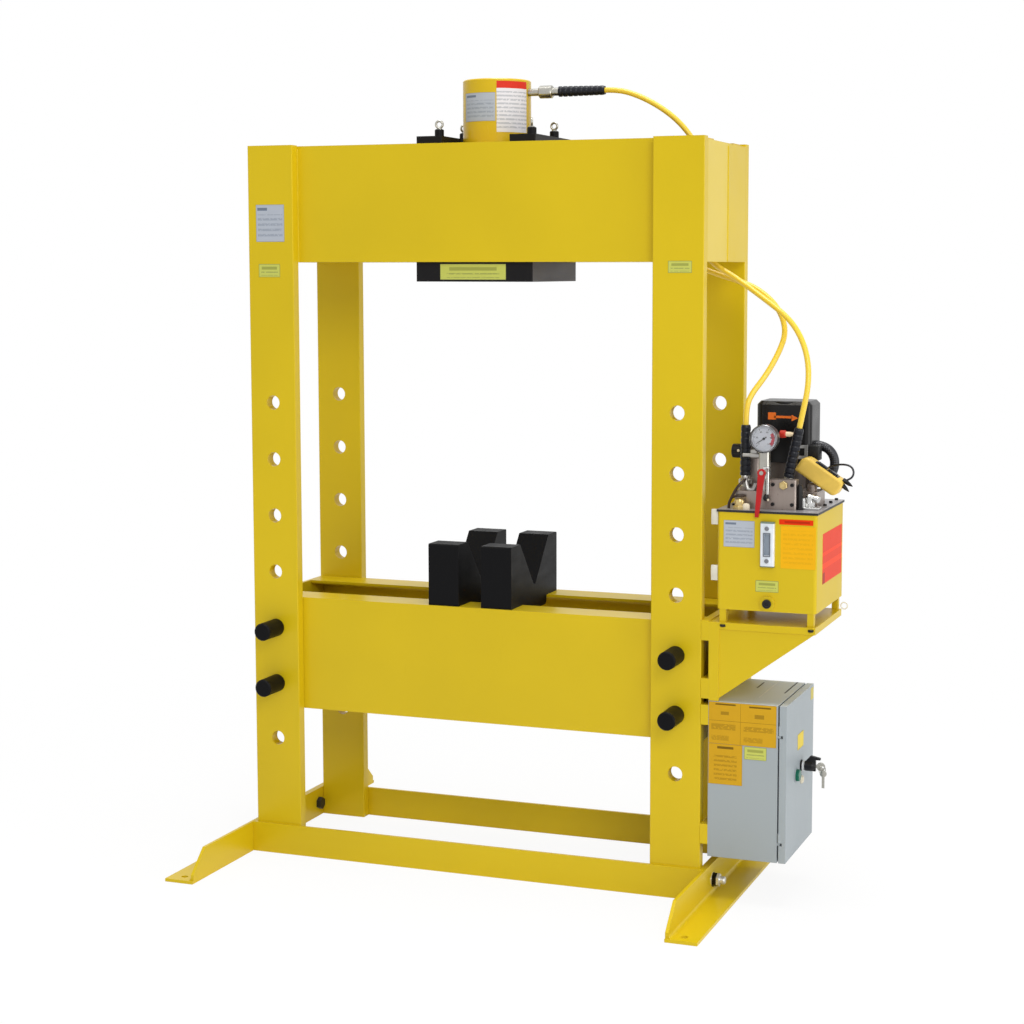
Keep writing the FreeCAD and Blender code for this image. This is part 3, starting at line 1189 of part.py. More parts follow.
def gauge_adapter():
    """Square adapter under the gauge, on a thin riser, with the lever's valve stem on its front."""
    y = gauge_stem_y()
    top = GAUGE_Z - GAUGE_RADIUS + LENS_THICKNESS
    body = block((GAUGE_X - ADAPTER_WIDTH / 2, GAUGE_X + ADAPTER_WIDTH / 2),
                 (ADAPTER_FRONT, ADAPTER_FRONT + ADAPTER_DEPTH), (ADAPTER_BOTTOM, top))
    body = body.makeChamfer(VALVE_EDGE, upright_edges(body))
    riser = cylinder(STEM_RADIUS, Vector(GAUGE_X, y, VALVE_TOP - PORT_THREAD_LENGTH + 1),
                     Vector(GAUGE_X, y, ADAPTER_BOTTOM + 1))
    start = Vector(LEVER_X, ADAPTER_FRONT + 1, LEVER_Z)
    stem = cylinder(LEVER_STEM_RADIUS, start, start - Vector(0, LEVER_STEM_LENGTH, 0))
    room = cylinder(GAUGE_RADIUS + FIT_GAP, Vector(GAUGE_X, GAUGE_BACK, GAUGE_Z), Vector(GAUGE_X, GAUGE_FRONT, GAUGE_Z))
    return body.fuse([riser, stem]).cut(room)


def valve_lever():
    """Tapered flat hand lever hanging a little aslant from its hub on the valve stem."""
    y = ADAPTER_FRONT - LEVER_STEM_LENGTH + 2
    sweep = Vector(0, LEVER_THICKNESS, 0)
    hub = cylinder(LEVER_HUB_RADIUS, Vector(LEVER_X, y, LEVER_Z), Vector(LEVER_X, y, LEVER_Z) + sweep)
    tip_x = LEVER_X - LEVER_LEAN
    tip_z = LEVER_Z - LEVER_LENGTH
    arm = prism([Vector(LEVER_X - LEVER_TOP_HALF, y, LEVER_Z), Vector(LEVER_X + LEVER_TOP_HALF, y, LEVER_Z),
                 Vector(tip_x + LEVER_TIP_HALF, y, tip_z), Vector(tip_x - LEVER_TIP_HALF, y, tip_z)], sweep)
    bore = cylinder(LEVER_STEM_RADIUS + FIT_GAP, Vector(LEVER_X, y - 1, LEVER_Z),
                    Vector(LEVER_X, y + LEVER_THICKNESS + 1, LEVER_Z))
    return hub.fuse(arm).cut(bore).removeSplitter()


# ---- pendant -----------------------------------------------------------------------------------
def pendant_place():
    """The pendant's own frame: origin at its lower end's underside, +X up its length, +Z its top."""
    angle = math.radians(PENDANT_ANGLE)
    along = Vector(-math.cos(angle), 0, math.sin(angle))
    up = Vector(math.sin(angle), 0, math.cos(angle))
    rest = Vector(SIDE_CAP_X + SIDE_CAP_TOP_RADIUS, PENDANT_FRONT + PENDANT_DEPTH / 2, side_cap_top())
    start = rest - along * PENDANT_OVERHANG + up * PENDANT_SEAT_GAP
    return start, along, up


def in_pendant(shape):
    """Turns a shape from the pendant's own frame into its place on the side valve's cap."""
    start, along, up = pendant_place()
    side = up.cross(along)
    turn = FreeCAD.Rotation(along, side, up, "ZXY")
    moved = shape.copy()
    moved.Placement = FreeCAD.Placement(start, turn)
    return moved


def pendant_gland_axis():
    """Where the cable leaves the pendant: high on its lower end, bent up from its length."""
    start, along, up = pendant_place()
    tilt = math.radians(GLAND_TILT)
    root = start + along * GLAND_INSET + up * GLAND_RISE
    return root, up * math.sin(tilt) - along * math.cos(tilt)


def pendant_body():
    """Hand control: rounded bar with two button pockets on its top and a cable gland at its lower end."""
    half = PENDANT_DEPTH / 2
    body = block((0, PENDANT_LENGTH), (-half, half), (0, PENDANT_HEIGHT))
    body = body.makeFillet(PENDANT_LOW_ROUNDING, edges_along(body, 1, [(0, 0)]))
    body = body.makeFillet(PENDANT_CABLE_ROUNDING, edges_along(body, 1, [(0, PENDANT_HEIGHT)]))
    body = body.makeFillet(PENDANT_TOP_ROUNDING, edges_along(body, 1, [(PENDANT_LENGTH, PENDANT_HEIGHT)]))
    sides = [edge for edge in body.Edges
             if abs(abs(edge.CenterOfMass.y) - half) < 0.01 and edge.BoundBox.YLength < 0.01]
    body = body.makeFillet(PENDANT_EDGE, sides)
    for place in PENDANT_BUTTON_PLACES:
        gap = PENDANT_BUTTON_GAP
        reach = PENDANT_BUTTON_WIDTH / 2 + gap
        body = body.cut(block((place - gap, place + PENDANT_BUTTON_LENGTH + gap),
                              (PENDANT_BUTTON_SIDE - reach, PENDANT_BUTTON_SIDE + reach),
                              (PENDANT_HEIGHT - PENDANT_POCKET_DEPTH, PENDANT_HEIGHT + 1)))
    root, outward = pendant_gland_axis()
    gland = turned([(GLAND_ROOT_RADIUS, -GLAND_ROOT_RADIUS), (GLAND_ROOT_RADIUS, GLAND_LENGTH / 3),
                    (GLAND_TIP_RADIUS, GLAND_LENGTH)])
    return in_pendant(body).fuse(placed(gland, root, outward)).removeSplitter()


def pendant_button(place):
    reach = PENDANT_BUTTON_WIDTH / 2
    button = block((place, place + PENDANT_BUTTON_LENGTH),
                   (PENDANT_BUTTON_SIDE - reach, PENDANT_BUTTON_SIDE + reach),
                   (PENDANT_HEIGHT - PENDANT_BUTTON_SINK, PENDANT_HEIGHT + PENDANT_BUTTON_RISE))
    return in_pendant(button.makeFillet(PENDANT_BUTTON_RISE / 2, upright_edges(button)))


def pendant_cable():
    """Thin lead from the pendant's gland to the top of the side valve, behind the pendant."""
    root, outward = pendant_gland_axis()
    end = Vector(CABLE_END_X, CABLE_END_Y, COVER_TOP + SIDE_VALVE_HEIGHT)
    return tube("pendant_cable", (root + outward * GLAND_LENGTH, outward * CABLE_LEAD), CABLE_ROUTE,
                (end, Vector(0, 0, 1.5 * CABLE_LEAD)), CABLE_DIAMETER)


def motor_conduit():
    """Stout conduit that bends round from the shroud's right side to the motor's terminal boss."""
    lead = Vector(CONDUIT_LEAD, 0, 0)
    return tube("motor_conduit", (Vector(SHROUD_SIDE, MOTOR_Y, CONDUIT_TOP), lead), CONDUIT_ROUTE,
                (Vector(terminal_face(), MOTOR_Y, CONDUIT_LOW), lead * 0.8), CONDUIT_DIAMETER)


# ---- control box -----------------------------------------------------------------------------
def box_span():
    return (BOX_FRONT, BOX_FRONT + BOX_DEPTH), (BOX_BOTTOM, BOX_BOTTOM + BOX_HEIGHT)


def inset(span, amount):
    return span[0] + amount, span[1] - amount


def hinge_heights():
    low, high = box_span()[1]
    return low + HINGE_INSET, high - HINGE_INSET - KNUCKLE_HEIGHT


def box_shell():
    """Folded sheet box, open to the right, with a raised rim inside the door and two hinge pins."""
    y, z = box_span()
    sheet = BOX_SHEET
    rim = BOX_RIM_INSET
    shell = block((MOUNT_X, BOX_FACE), y, z)
    shell = shell.cut(block((MOUNT_X + sheet, BOX_FACE - sheet), inset(y, sheet), inset(z, sheet)))
    lip = block((BOX_FACE - sheet, BOX_FACE + BOX_RIM_RISE), inset(y, rim), inset(z, rim))
    opening = block((BOX_FACE - 2 * sheet, BOX_FACE + 2 * BOX_RIM_RISE), inset(y, rim + sheet), inset(z, rim + sheet))
    shell = shell.fuse(lip).cut(opening)
    pins = []
    for height in hinge_heights():
        arm_top = height - HINGE_ARM_PLAY
        arm = block((BOX_FACE - 1, HINGE_X + HINGE_PIN_RADIUS), (HINGE_Y - HINGE_PIN_RADIUS / 2, HINGE_Y + KNUCKLE_RADIUS),
                    (arm_top - HINGE_ARM_HEIGHT, arm_top))
        pin = cylinder(HINGE_PIN_RADIUS, Vector(HINGE_X, HINGE_Y, arm_top - HINGE_ARM_HEIGHT),
                       Vector(HINGE_X, HINGE_Y, height + KNUCKLE_HEIGHT))
        pins += [arm, pin]
    return shell.fuse(pins).removeSplitter()


def box_door():
    """Folded door pan with two hinge knuckles, collars and holes for what is mounted in it."""
    y, z = box_span()
    sheet = BOX_SHEET
    pan = block((DOOR_BACK, DOOR_FACE), y, z)
    pan = pan.cut(block((DOOR_BACK - 1, DOOR_FACE - sheet), inset(y, sheet), inset(z, sheet)))
    pan = pan.makeFillet(sheet / 2, [edge for edge in pan.Edges
                                     if abs(edge.BoundBox.XMin - DOOR_FACE) < 0.01])
    notches = []
    knuckles = []
    bores = []
    for height in hinge_heights():
        notches.append(block((DOOR_BACK - 1, HINGE_X + 2 * KNUCKLE_RADIUS), (y[0] - 1, y[0] + HINGE_NOTCH),
                             (height - 2 * HINGE_ARM_PLAY - HINGE_ARM_HEIGHT, height)))
        start = Vector(HINGE_X, HINGE_Y, height)
        knuckles.append(cylinder(KNUCKLE_RADIUS, start, start + Vector(0, 0, KNUCKLE_HEIGHT)))
        bores.append(cylinder(HINGE_PIN_RADIUS + HINGE_RUNNING_GAP, start - Vector(0, 0, 1),
                              start + Vector(0, 0, KNUCKLE_HEIGHT + 1)))
    collar = cylinder(BUTTON_COLLAR_RADIUS, door_point(BUTTON_FROM_FRONT, BUTTON_HEIGHT, -1),
                      door_point(BUTTON_FROM_FRONT, BUTTON_HEIGHT, BUTTON_COLLAR_HEIGHT))
    holes = [cylinder(BUTTON_RADIUS + SEAT_GAP, door_point(BUTTON_FROM_FRONT, BUTTON_HEIGHT, -2 * sheet),
                      door_point(BUTTON_FROM_FRONT, BUTTON_HEIGHT, 2 * BUTTON_RISE)),
             cylinder(SWITCH_STEM_RADIUS + FIT_GAP, door_point(SWITCH_FROM_FRONT, SWITCH_HEIGHT, -2 * sheet),
                      door_point(SWITCH_FROM_FRONT, SWITCH_HEIGHT, sheet)),
             cylinder(LAMP_RADIUS - LAMP_LEDGE + THREAD_GAP, door_point(LAMP_FROM_FRONT, LAMP_HEIGHT, -2 * sheet),
                      door_point(LAMP_FROM_FRONT, LAMP_HEIGHT, sheet))]
    return pan.cut(notches).fuse(knuckles + [collar]).cut(bores + holes).removeSplitter()


def door_point(from_front, height, out):
    """A point on the door's face, moved out from it."""
    return Vector(DOOR_FACE + out, BOX_FRONT + from_front, height)


def key_switch():
    """Rotary key switch: round body and winged grip outside the door, stem and contact drum behind it."""
    seat = SEAT_GAP
    behind = BOX_SHEET + seat
    drum = SWITCH_RADIUS * DRUM_SHARE
    neck = SWITCH_RADIUS - SWITCH_NECK_INSET
    end = SWITCH_BODY_LENGTH
    body = turned([(drum, -behind - SWITCH_BODY_DEPTH), (drum, -behind), (SWITCH_STEM_RADIUS, -behind),
                   (SWITCH_STEM_RADIUS, seat), (SWITCH_RADIUS, seat), (SWITCH_RADIUS, SWITCH_BEZEL),
                   (neck, SWITCH_BEZEL + SWITCH_NECK_INSET), (neck, end - SWITCH_NOSE_LENGTH),
                   (SWITCH_RADIUS - SWITCH_NOSE_INSET, end)])
    shoulder = (SWITCH_GRIP_START + end) / 2
    wing = SWITCH_GRIP_UP - SWITCH_WING_WIDTH
    outline = [(SWITCH_GRIP_START, -SWITCH_GRIP_DOWN), (end, -SWITCH_GRIP_DOWN), (end, wing - SWITCH_WING_WIDTH),
               (end + SWITCH_WING_REACH, wing - SWITCH_WING_WIDTH), (end + SWITCH_WING_REACH, wing),
               (shoulder, SWITCH_GRIP_UP), (SWITCH_GRIP_START, neck)]
    grip = prism([Vector(-up, -SWITCH_GRIP_HALF, out) for out, up in outline], Vector(0, 2 * SWITCH_GRIP_HALF, 0))
    slot = block((-KEY_BLADE_WIDTH / 2 - SEAT_GAP, KEY_BLADE_WIDTH / 2 + SEAT_GAP),
                 (-KEY_THICKNESS / 2 - THREAD_GAP, KEY_THICKNESS / 2 + THREAD_GAP),
                 (end - KEY_BLADE_LENGTH, end + 1))
    switch = body.fuse(grip).cut(slot).removeSplitter()
    return placed(switch, door_point(SWITCH_FROM_FRONT, SWITCH_HEIGHT, 0), Vector(1, 0, 0))


def switch_key():
    """Flat key standing in the switch, with a round bow that has a ring hole."""
    half = KEY_THICKNESS / 2
    start = SWITCH_BODY_LENGTH - KEY_BLADE_LENGTH + SEAT_GAP
    shoulder = SWITCH_BODY_LENGTH + 2
    blade = block((-KEY_BLADE_WIDTH / 2, KEY_BLADE_WIDTH / 2), (-half, half), (start, shoulder + KEY_BOW_RADIUS))
    centre = Vector(0, -half, shoulder + KEY_BOW_RADIUS)
    bow = cylinder(KEY_BOW_RADIUS, centre, centre + Vector(0, KEY_THICKNESS, 0))
    place = Vector(0, -half - 1, shoulder + 1.5 * KEY_BOW_RADIUS)
    hole = cylinder(KEY_HOLE_RADIUS, place, place + Vector(0, KEY_THICKNESS + 2, 0))
    key = blade.fuse(bow).cut(hole).removeSplitter()
    return placed(key, door_point(SWITCH_FROM_FRONT, SWITCH_HEIGHT, 0), Vector(1, 0, 0))


def start_button():
    """Push button: domed cap in its collar, on a stem through the door."""
    inner = -BOX_SHEET
    cap = turned([(BUTTON_STEM_RADIUS, inner - BUTTON_STEM_LENGTH), (BUTTON_STEM_RADIUS, inner),
                  (BUTTON_RADIUS, inner), (BUTTON_RADIUS, BUTTON_RISE - BUTTON_EDGE),
                  (BUTTON_RADIUS - BUTTON_EDGE, BUTTON_RISE)])
    return placed(cap, door_point(BUTTON_FROM_FRONT, BUTTON_HEIGHT, 0), Vector(1, 0, 0))


def power_lamp():
    """Indicator with a low dome outside and its holder through the door."""
    shank = LAMP_RADIUS - LAMP_LEDGE
    lamp = turned([(shank, -LAMP_DEPTH), (shank, 0), (LAMP_RADIUS, 0), (LAMP_RADIUS, LAMP_RISE / 3),
                   (LAMP_RADIUS * 0.8, LAMP_RISE * 0.8), (LAMP_RADIUS * 0.4, LAMP_RISE)])
    return placed(lamp, door_point(LAMP_FROM_FRONT, LAMP_HEIGHT, 0), Vector(1, 0, 0))


def box_contactor():
    """Motor contactor on the box's back wall: stepped moulding, lower at its terminals."""
    x = MOUNT_X + BOX_SHEET
    y = BOX_FRONT + CONTACTOR_INSET
    low = BOX_BOTTOM + BOX_SHEET + CONTACTOR_RISE
    outline = [(0, 0), (CONTACTOR_DEPTH * 0.7, 0), (CONTACTOR_DEPTH * 0.7, CONTACTOR_STEP),
               (CONTACTOR_DEPTH, CONTACTOR_STEP), (CONTACTOR_DEPTH, CONTACTOR_HEIGHT - CONTACTOR_STEP),
               (CONTACTOR_DEPTH * 0.7, CONTACTOR_HEIGHT - CONTACTOR_STEP),
               (CONTACTOR_DEPTH * 0.7, CONTACTOR_HEIGHT), (0, CONTACTOR_HEIGHT)]
    return prism([Vector(x + out, y, low + up) for out, up in outline], Vector(0, CONTACTOR_WIDTH, 0))


# ---- all sub-parts --------------------------------------------------------------------------------
def sub_parts():
    """Every sub-part of the press, by name."""
    front_column = column(-OUTER_Y, -INNER_Y)
    rear_column = column(INNER_Y, OUTER_Y)
    lower_row, upper_row = bed_pin_heights()
    first_button, second_button = PENDANT_BUTTON_PLACES
    return {
        "column_front_left": mirrored(front_column),
        "column_front_right": front_column,
        "column_rear_left": mirrored(rear_column),
        "column_rear_right": rear_column,
        "head_channel_front": head_channel(-1),
        "head_channel_rear": head_channel(1),
        "head_end_plates": head_end_plates(),
        "top_clamp_bars": top_clamp_bars(),
        "bottom_clamp_plate": bottom_clamp_plate(),
        "clamp_bolts": clamp_bolts(),
        "lifting_eyes": lifting_eyes(),
        "cylinder_barrel": cylinder_barrel(),
        "cylinder_gland": cylinder_gland(),
        "ram_piston": ram_piston(),
        "ram_rod": ram_rod(),
        "ram_saddle": ram_saddle(),
        "hose_couplers": hose_couplers(),
        "hose_sleeves": hose_sleeves(),
        "hose_advance": hose_advance(),
        "hose_retract": hose_retract(),
        "bed_channel_front": bed_channel(-1),
        "bed_channel_rear": bed_channel(1),
        "bed_end_plates": bed_end_plates(),
        "v_block_left": v_block(BLOCK_LEFT_X),
        "v_block_right": v_block(BLOCK_RIGHT_X),
        "bed_pin_lower_left": bed_pin(-1, lower_row),
        "bed_pin_upper_left": bed_pin(-1, upper_row),
        "bed_pin_lower_right": bed_pin(1, lower_row),
        "bed_pin_upper_right": bed_pin(1, upper_row),
        "base_ties": base_ties(),
        "feet": both_sides(foot_angle()),
        "foot_spacers": foot_spacers(),
        "foot_fasteners": foot_fasteners(),
        "side_rails": side_rails(),
        "pump_bracket": pump_bracket(),
        "tank_shell": tank_shell(),
        "tank_cover": tank_cover(),
        "sight_gauge": sight_gauge(),
        "drain_plug": drain_plug(),
        "valve_block": valve_block(),
        "pressure_knob": pressure_knob(),
        "pump_motor": pump_motor(),
        "motor_shroud": motor_shroud(),
        "gauge_adapter": gauge_adapter(),
        "gauge_case": gauge_case(),
        "gauge_needle": gauge_needle(),
        "gauge_lens": gauge_lens(),
        "valve_lever": valve_lever(),
        "pendant_body": pendant_body(),
        "pendant_button_up": pendant_button(second_button),
        "pendant_button_down": pendant_button(first_button),
        "pendant_cable": pendant_cable(),
        "motor_conduit": motor_conduit(),
        "box_shell": box_shell(),
        "box_door": box_door(),
        "key_switch": key_switch(),
        "switch_key": switch_key(),
        "start_button": start_button(),
        "power_lamp": power_lamp(),
        "box_contactor": box_contactor(),
    }


os.makedirs("parts", exist_ok=True)
for part_name, part_shape in sub_parts().items():
    if not part_shape.isValid():
        raise ValueError("not a valid shape: " + part_name)
    save(part_name, part_shape)
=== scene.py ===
"""Finishes, hoses and small trim of a two-column workshop press, laid out as an add-on."""

import math
from functools import partialmethod

import bpy
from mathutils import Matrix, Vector


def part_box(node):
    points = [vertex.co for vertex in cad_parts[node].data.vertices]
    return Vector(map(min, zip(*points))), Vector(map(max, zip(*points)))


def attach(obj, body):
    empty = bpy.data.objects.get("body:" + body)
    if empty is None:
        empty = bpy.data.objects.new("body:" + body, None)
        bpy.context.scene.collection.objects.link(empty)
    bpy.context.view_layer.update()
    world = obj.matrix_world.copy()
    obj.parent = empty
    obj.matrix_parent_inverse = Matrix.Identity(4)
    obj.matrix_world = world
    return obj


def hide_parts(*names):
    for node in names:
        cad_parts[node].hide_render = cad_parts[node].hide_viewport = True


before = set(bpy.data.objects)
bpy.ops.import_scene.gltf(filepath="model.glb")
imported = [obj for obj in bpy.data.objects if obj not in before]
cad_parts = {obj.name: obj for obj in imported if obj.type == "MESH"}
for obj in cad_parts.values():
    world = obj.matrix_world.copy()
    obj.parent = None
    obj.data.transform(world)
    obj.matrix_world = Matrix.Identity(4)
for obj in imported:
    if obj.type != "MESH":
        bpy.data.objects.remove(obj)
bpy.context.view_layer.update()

bl_info = {
    "name": "Workshop Press Dresser",
    "version": (1, 0, 0),
    "blender": (4, 5, 0),
    "location": "3D View > Sidebar > Press",
    "description": "Paints, hoses, plates and pump trim for a two-column hydraulic press",
    "category": "Object",
}


def display(red, green, blue):
    """A display colour, 0 to 255 each, as the linear values a colour setting holds."""
    shares = [channel / 255 for channel in (red, green, blue)]
    return tuple(s / 12.92 if s <= 0.04045 else ((s + 0.055) / 1.055) ** 2.4 for s in shares)


def mm(*distances):
    """A place or a way given in millimetres, in metres."""
    return Vector([distance / 1000 for distance in distances])


def swatch(name, text, red, green, blue):
    """A colour setting of the panel."""
    return bpy.props.FloatVectorProperty(
        name=name, description=text, subtype="COLOR", size=3, min=0.0, max=1.0,
        default=display(red, green, blue),
    )


def length(name, text, default):
    """A length setting of the panel, in metres."""
    return bpy.props.FloatProperty(
        name=name, description=text, default=default, min=0.0, unit="LENGTH", precision=4,
    )


def share(name, text, default):
    """A setting of the panel between 0 and 1."""
    return bpy.props.FloatProperty(
        name=name, description=text, default=default, min=0.0, max=1.0, subtype="FACTOR",
    )


class PressColours(bpy.types.PropertyGroup):
    """Colours of the press and its trim."""

    frame_paint: swatch("Frame paint", "Paint of the columns, channels, feet and tank", 213, 184, 18)
    cylinder_paint: swatch("Cylinder paint", "Paint of the ram's barrel", 214, 180, 24)
    plate_black: swatch("Black plates", "Clamp plates under and over the head", 24, 23, 24)
    block_black: swatch("Black blocks", "V-blocks and bed pins", 8, 8, 10)
    hose_yellow: swatch("Hose", "Outer sheath of the two hoses", 236, 200, 52)
    rubber: swatch("Rubber", "Hose sleeves, cable and conduit", 15, 17, 26)
    box_grey: swatch("Control box", "Powder coat of the control box", 160, 168, 172)
    lever_red: swatch("Valve lever", "Dipped red lever of the valve", 176, 24, 26)
    pendant_yellow: swatch("Pendant", "Shell of the hand control", 224, 188, 84)
    plate_grey: swatch("Grey plates", "Blue-grey rating plates", 178, 184, 194)
    plate_lime: swatch("Lime plates", "Small yellow-green plates", 196, 200, 96)
    plate_amber: swatch("Amber plates", "Orange-yellow plates", 236, 176, 14)
    box_amber: swatch("Box plates", "Duller amber plates of the control box", 205, 158, 28)
    plate_orange: swatch("Orange plates", "Orange-red plates and bands", 226, 52, 0)
    green_button: swatch("Start button", "Green push button", 14, 96, 74)


class PressTrim(bpy.types.PropertyGroup):
    """Sizes of the trim, and the wear and painted edge highlight of the finishes."""

    plate_thickness: length("Plate thickness", "Thickness of the stuck-on plates", 0.0004)
    weld_width: length("Weld width", "Width of a weld bead", 0.005)
    weld_step: length("Weld step", "Distance between two ripples of a bead", 0.0035)
    edge_radius: length("Edge radius", "How far the paint rounds the sheet edges", 0.0010)
    # Scales the scuffs and the lighter edges; the lighter edges are partly wear and partly a painted
    # highlight.
    wear_and_edge_highlight: share("Wear", "How strongly the edges and flat faces show handling", 0.4)


class PressStage(bpy.types.PropertyGroup):
    """Floor, lamps and camera round the press."""

    floor_tone: swatch("Floor", "Colour of the studio floor", 244, 244, 244)
    floor_radius: length("Floor radius", "Radius of the round floor", 14.0)
    sky: share("Sky", "Strength of the even light from all round", 0.50)
    camera_place: bpy.props.FloatVectorProperty(
        name="Camera place", description="Where the camera stands", subtype="TRANSLATION", size=3,
        unit="LENGTH", default=(1.9419, -4.8155, 1.5664),
    )
    camera_turn: bpy.props.FloatVectorProperty(
        name="Camera turn", description="How the camera is turned", subtype="EULER", size=3,
        default=(math.radians(90 - 5.836), 0.0, math.radians(20.159)),
    )
    camera_lens: bpy.props.FloatProperty(
        name="Lens", description="Focal length of the camera", subtype="DISTANCE_CAMERA",
        default=69.30, min=1.0,
    )
    camera_shift: bpy.props.FloatVectorProperty(
        name="Shift", description="Shift of the picture across and up", size=2,
        default=(-0.0469, -0.0410),
    )


def colours():
    return bpy.context.scene.press_colours


def trim():
    return bpy.context.scene.press_trim


# ---- shader expressions --------------------------------------------------------------


class Reading:
    """An output socket of a shader; arithmetic on it adds Math nodes."""

    def __init__(self, tree, socket):
        self.tree, self.socket = tree, socket

    def maths(self, operation, *others, clamp=False):
        """One Math node that works on this reading and the others."""
        settings = {"operation": operation, "use_clamp": clamp}
        return self.tree.node("ShaderNodeMath", settings, dict(enumerate((self, *others))))

    def __rsub__(self, other):
        return self.tree.node("ShaderNodeMath", {"operation": "SUBTRACT"}, {0: other, 1: self})

    __add__ = __radd__ = partialmethod(maths, "ADD")
    __sub__ = partialmethod(maths, "SUBTRACT")
    __mul__ = __rmul__ = partialmethod(maths, "MULTIPLY")
    __truediv__ = partialmethod(maths, "DIVIDE")
    __pow__ = partialmethod(maths, "POWER")
    __gt__ = partialmethod(maths, "GREATER_THAN")
    __lt__ = partialmethod(maths, "LESS_THAN")
    wave = partialmethod(maths, "SINE")
    limited = partialmethod(maths, "ADD", 0.0, clamp=True)

    def between(self, low, high):
        """1 where the reading lies between low and high."""
        return (self > low) * (self < high)

    def ramp(self, low, high):
        """0 below low, 1 above high, with a soft change between."""
        settings = {"interpolation_type": "SMOOTHSTEP"}
        return self.tree.node("ShaderNodeMapRange", settings, {0: self, 1: low, 2: high})


class Shader:
    """A node tree that nodes are added to one by one."""

    def __init__(self, tree):
        self.tree = tree

    def node(self, kind, settings=None, inputs=None, output=0):
        """Adds a node, makes its settings, then links or fills its sockets."""
        made = self.tree.nodes.new(kind)
        for name, value in (settings or {}).items():
            setattr(made, name, value)
        for name, value in (inputs or {}).items():
            self.fill(made.inputs[name], value)
        return Reading(self, made.outputs[output])

    def fill(self, socket, value):
        if isinstance(value, Reading):
            self.tree.links.new(value.socket, socket)
        elif socket.type == "RGBA" and len(value) == 3:
            socket.default_value = (*value, 1.0)
        else:
            socket.default_value = value

    def place(self):
        return self.node("ShaderNodeTexCoord", output="Object")

    def axes(self):
        """The three distances of a point from the origin, in metres."""
        split = self.node("ShaderNodeSeparateXYZ", None, {0: self.place()})
        return [Reading(self, socket) for socket in split.socket.node.outputs]

    def stretched(self, scale):
        return self.node("ShaderNodeMapping", None, {"Vector": self.place(), "Scale": scale})

    def noise(self, scale, detail=3.0, roughness=0.55, place=None):
        sockets = {"Vector": place or self.place(), "Scale": scale, "Detail": detail, "Roughness": roughness}
        return self.node("ShaderNodeTexNoise", None, sockets)

    def mix(self, factor, first, second):
        return self.node("ShaderNodeMix", {"data_type": "RGBA"}, {0: factor, 6: first, 7: second}, output=2)

    def rounded(self, radius):
        """The surface's normal with the edges rounded over."""
        return self.node("ShaderNodeBevel", {"samples": 6}, {"Radius": radius})

    def edges(self, soft):
        """1 on the edges that soft rounds, 0 on flat faces."""
        flat = self.node("ShaderNodeNewGeometry", output="Normal")
        alike = self.node("ShaderNodeVectorMath", {"operation": "DOT_PRODUCT"}, {0: soft, 1: flat}, output=1)
        return (1.0 - alike).ramp(0.02, 0.25)

    def bump(self, height, strength, distance, normal=None):
        sockets = {"Height": height, "Strength": strength, "Distance": distance}
        if normal is not None:
            sockets["Normal"] = normal
        return self.node("ShaderNodeBump", None, sockets)

    def unlit_rays(self):
        """1 for what the camera, a gloss or a glass sees directly, 0 for light on the object."""
        rays = self.node("ShaderNodeLightPath").socket.node.outputs
        camera, gloss, glass = (
            Reading(self, rays[f"Is {kind} Ray"]) for kind in ("Camera", "Glossy", "Transmission")
        )
        return (camera + gloss + glass).limited()


class Finish(Shader):
    """A material: settings of its shader stay fixed, feeds change over the surface."""

    def __init__(self, name, **settings):
        self.material = bpy.data.materials.new(name)
        self.material.use_nodes = True
        super().__init__(self.material.node_tree)
        self.shader = self.tree.nodes["Principled BSDF"]
        self.feed(**settings)

    def feed(self, **feeds):
        for socket, value in feeds.items():
            self.fill(self.shader.inputs[socket.replace("_", " ")], value)
        return self.material


def tinted(tone, factor):
    return tuple(min(1.0, channel * factor) for channel in tone)


def sheet_paint(name, tone, rough=0.36, peel=0.10, mottle=0.08, accent=()):
    """Sprayed gloss paint: slow drift of tone, orange peel, lighter edges that are partly rubbed paint and
    partly a painted highlight, and faint scuffs.
    """
    wear_and_edge_highlight = trim().wear_and_edge_highlight
    finish = Finish(name, Coat_Weight=0.05, Coat_Roughness=0.14, Specular_IOR_Level=0.22)
    soft = finish.rounded(trim().edge_radius)
    edge = finish.edges(soft)
    cloud = finish.noise(9.0, 4.0, 0.6)
    scuff = finish.noise(38.0, 6.0, 0.7, finish.stretched((1.0, 1.0, 0.16))).ramp(0.62, 0.78)
    drift = finish.noise(1.6, 2.0).ramp(0.3, 0.7) * 0.65 + cloud * 0.35
    body = finish.mix(drift, tinted(tone, 1.0 - mottle), tinted(tone, 1.0 + mottle * 0.5))
    # Painted highlight: the edges turn lighter and bluer, partly rubbed paint and partly a painted highlight.
    rubbed_and_highlit = finish.mix(edge * wear_and_edge_highlight, body, (tone[0] * 1.1, tone[1] * 1.12, tone[2] + 0.08))
    marked = finish.mix(scuff * (0.2 * wear_and_edge_highlight), rubbed_and_highlit, tinted(tone, 0.62))
    return finish.feed(
        Base_Color=patched(finish, marked, accent), Roughness=rough + (cloud - 0.5) * 0.14 + scuff * 0.12,
        Normal=finish.bump(finish.noise(420.0, 2.0), peel, 0.0006, soft),
    )


def patched(finish, tone, accent):
    """The tone with another one laid over each accent, which is (part, shade)."""
    for part, shade in accent:
        tone = finish.mix(part(*finish.axes()), tone, shade)
    return tone


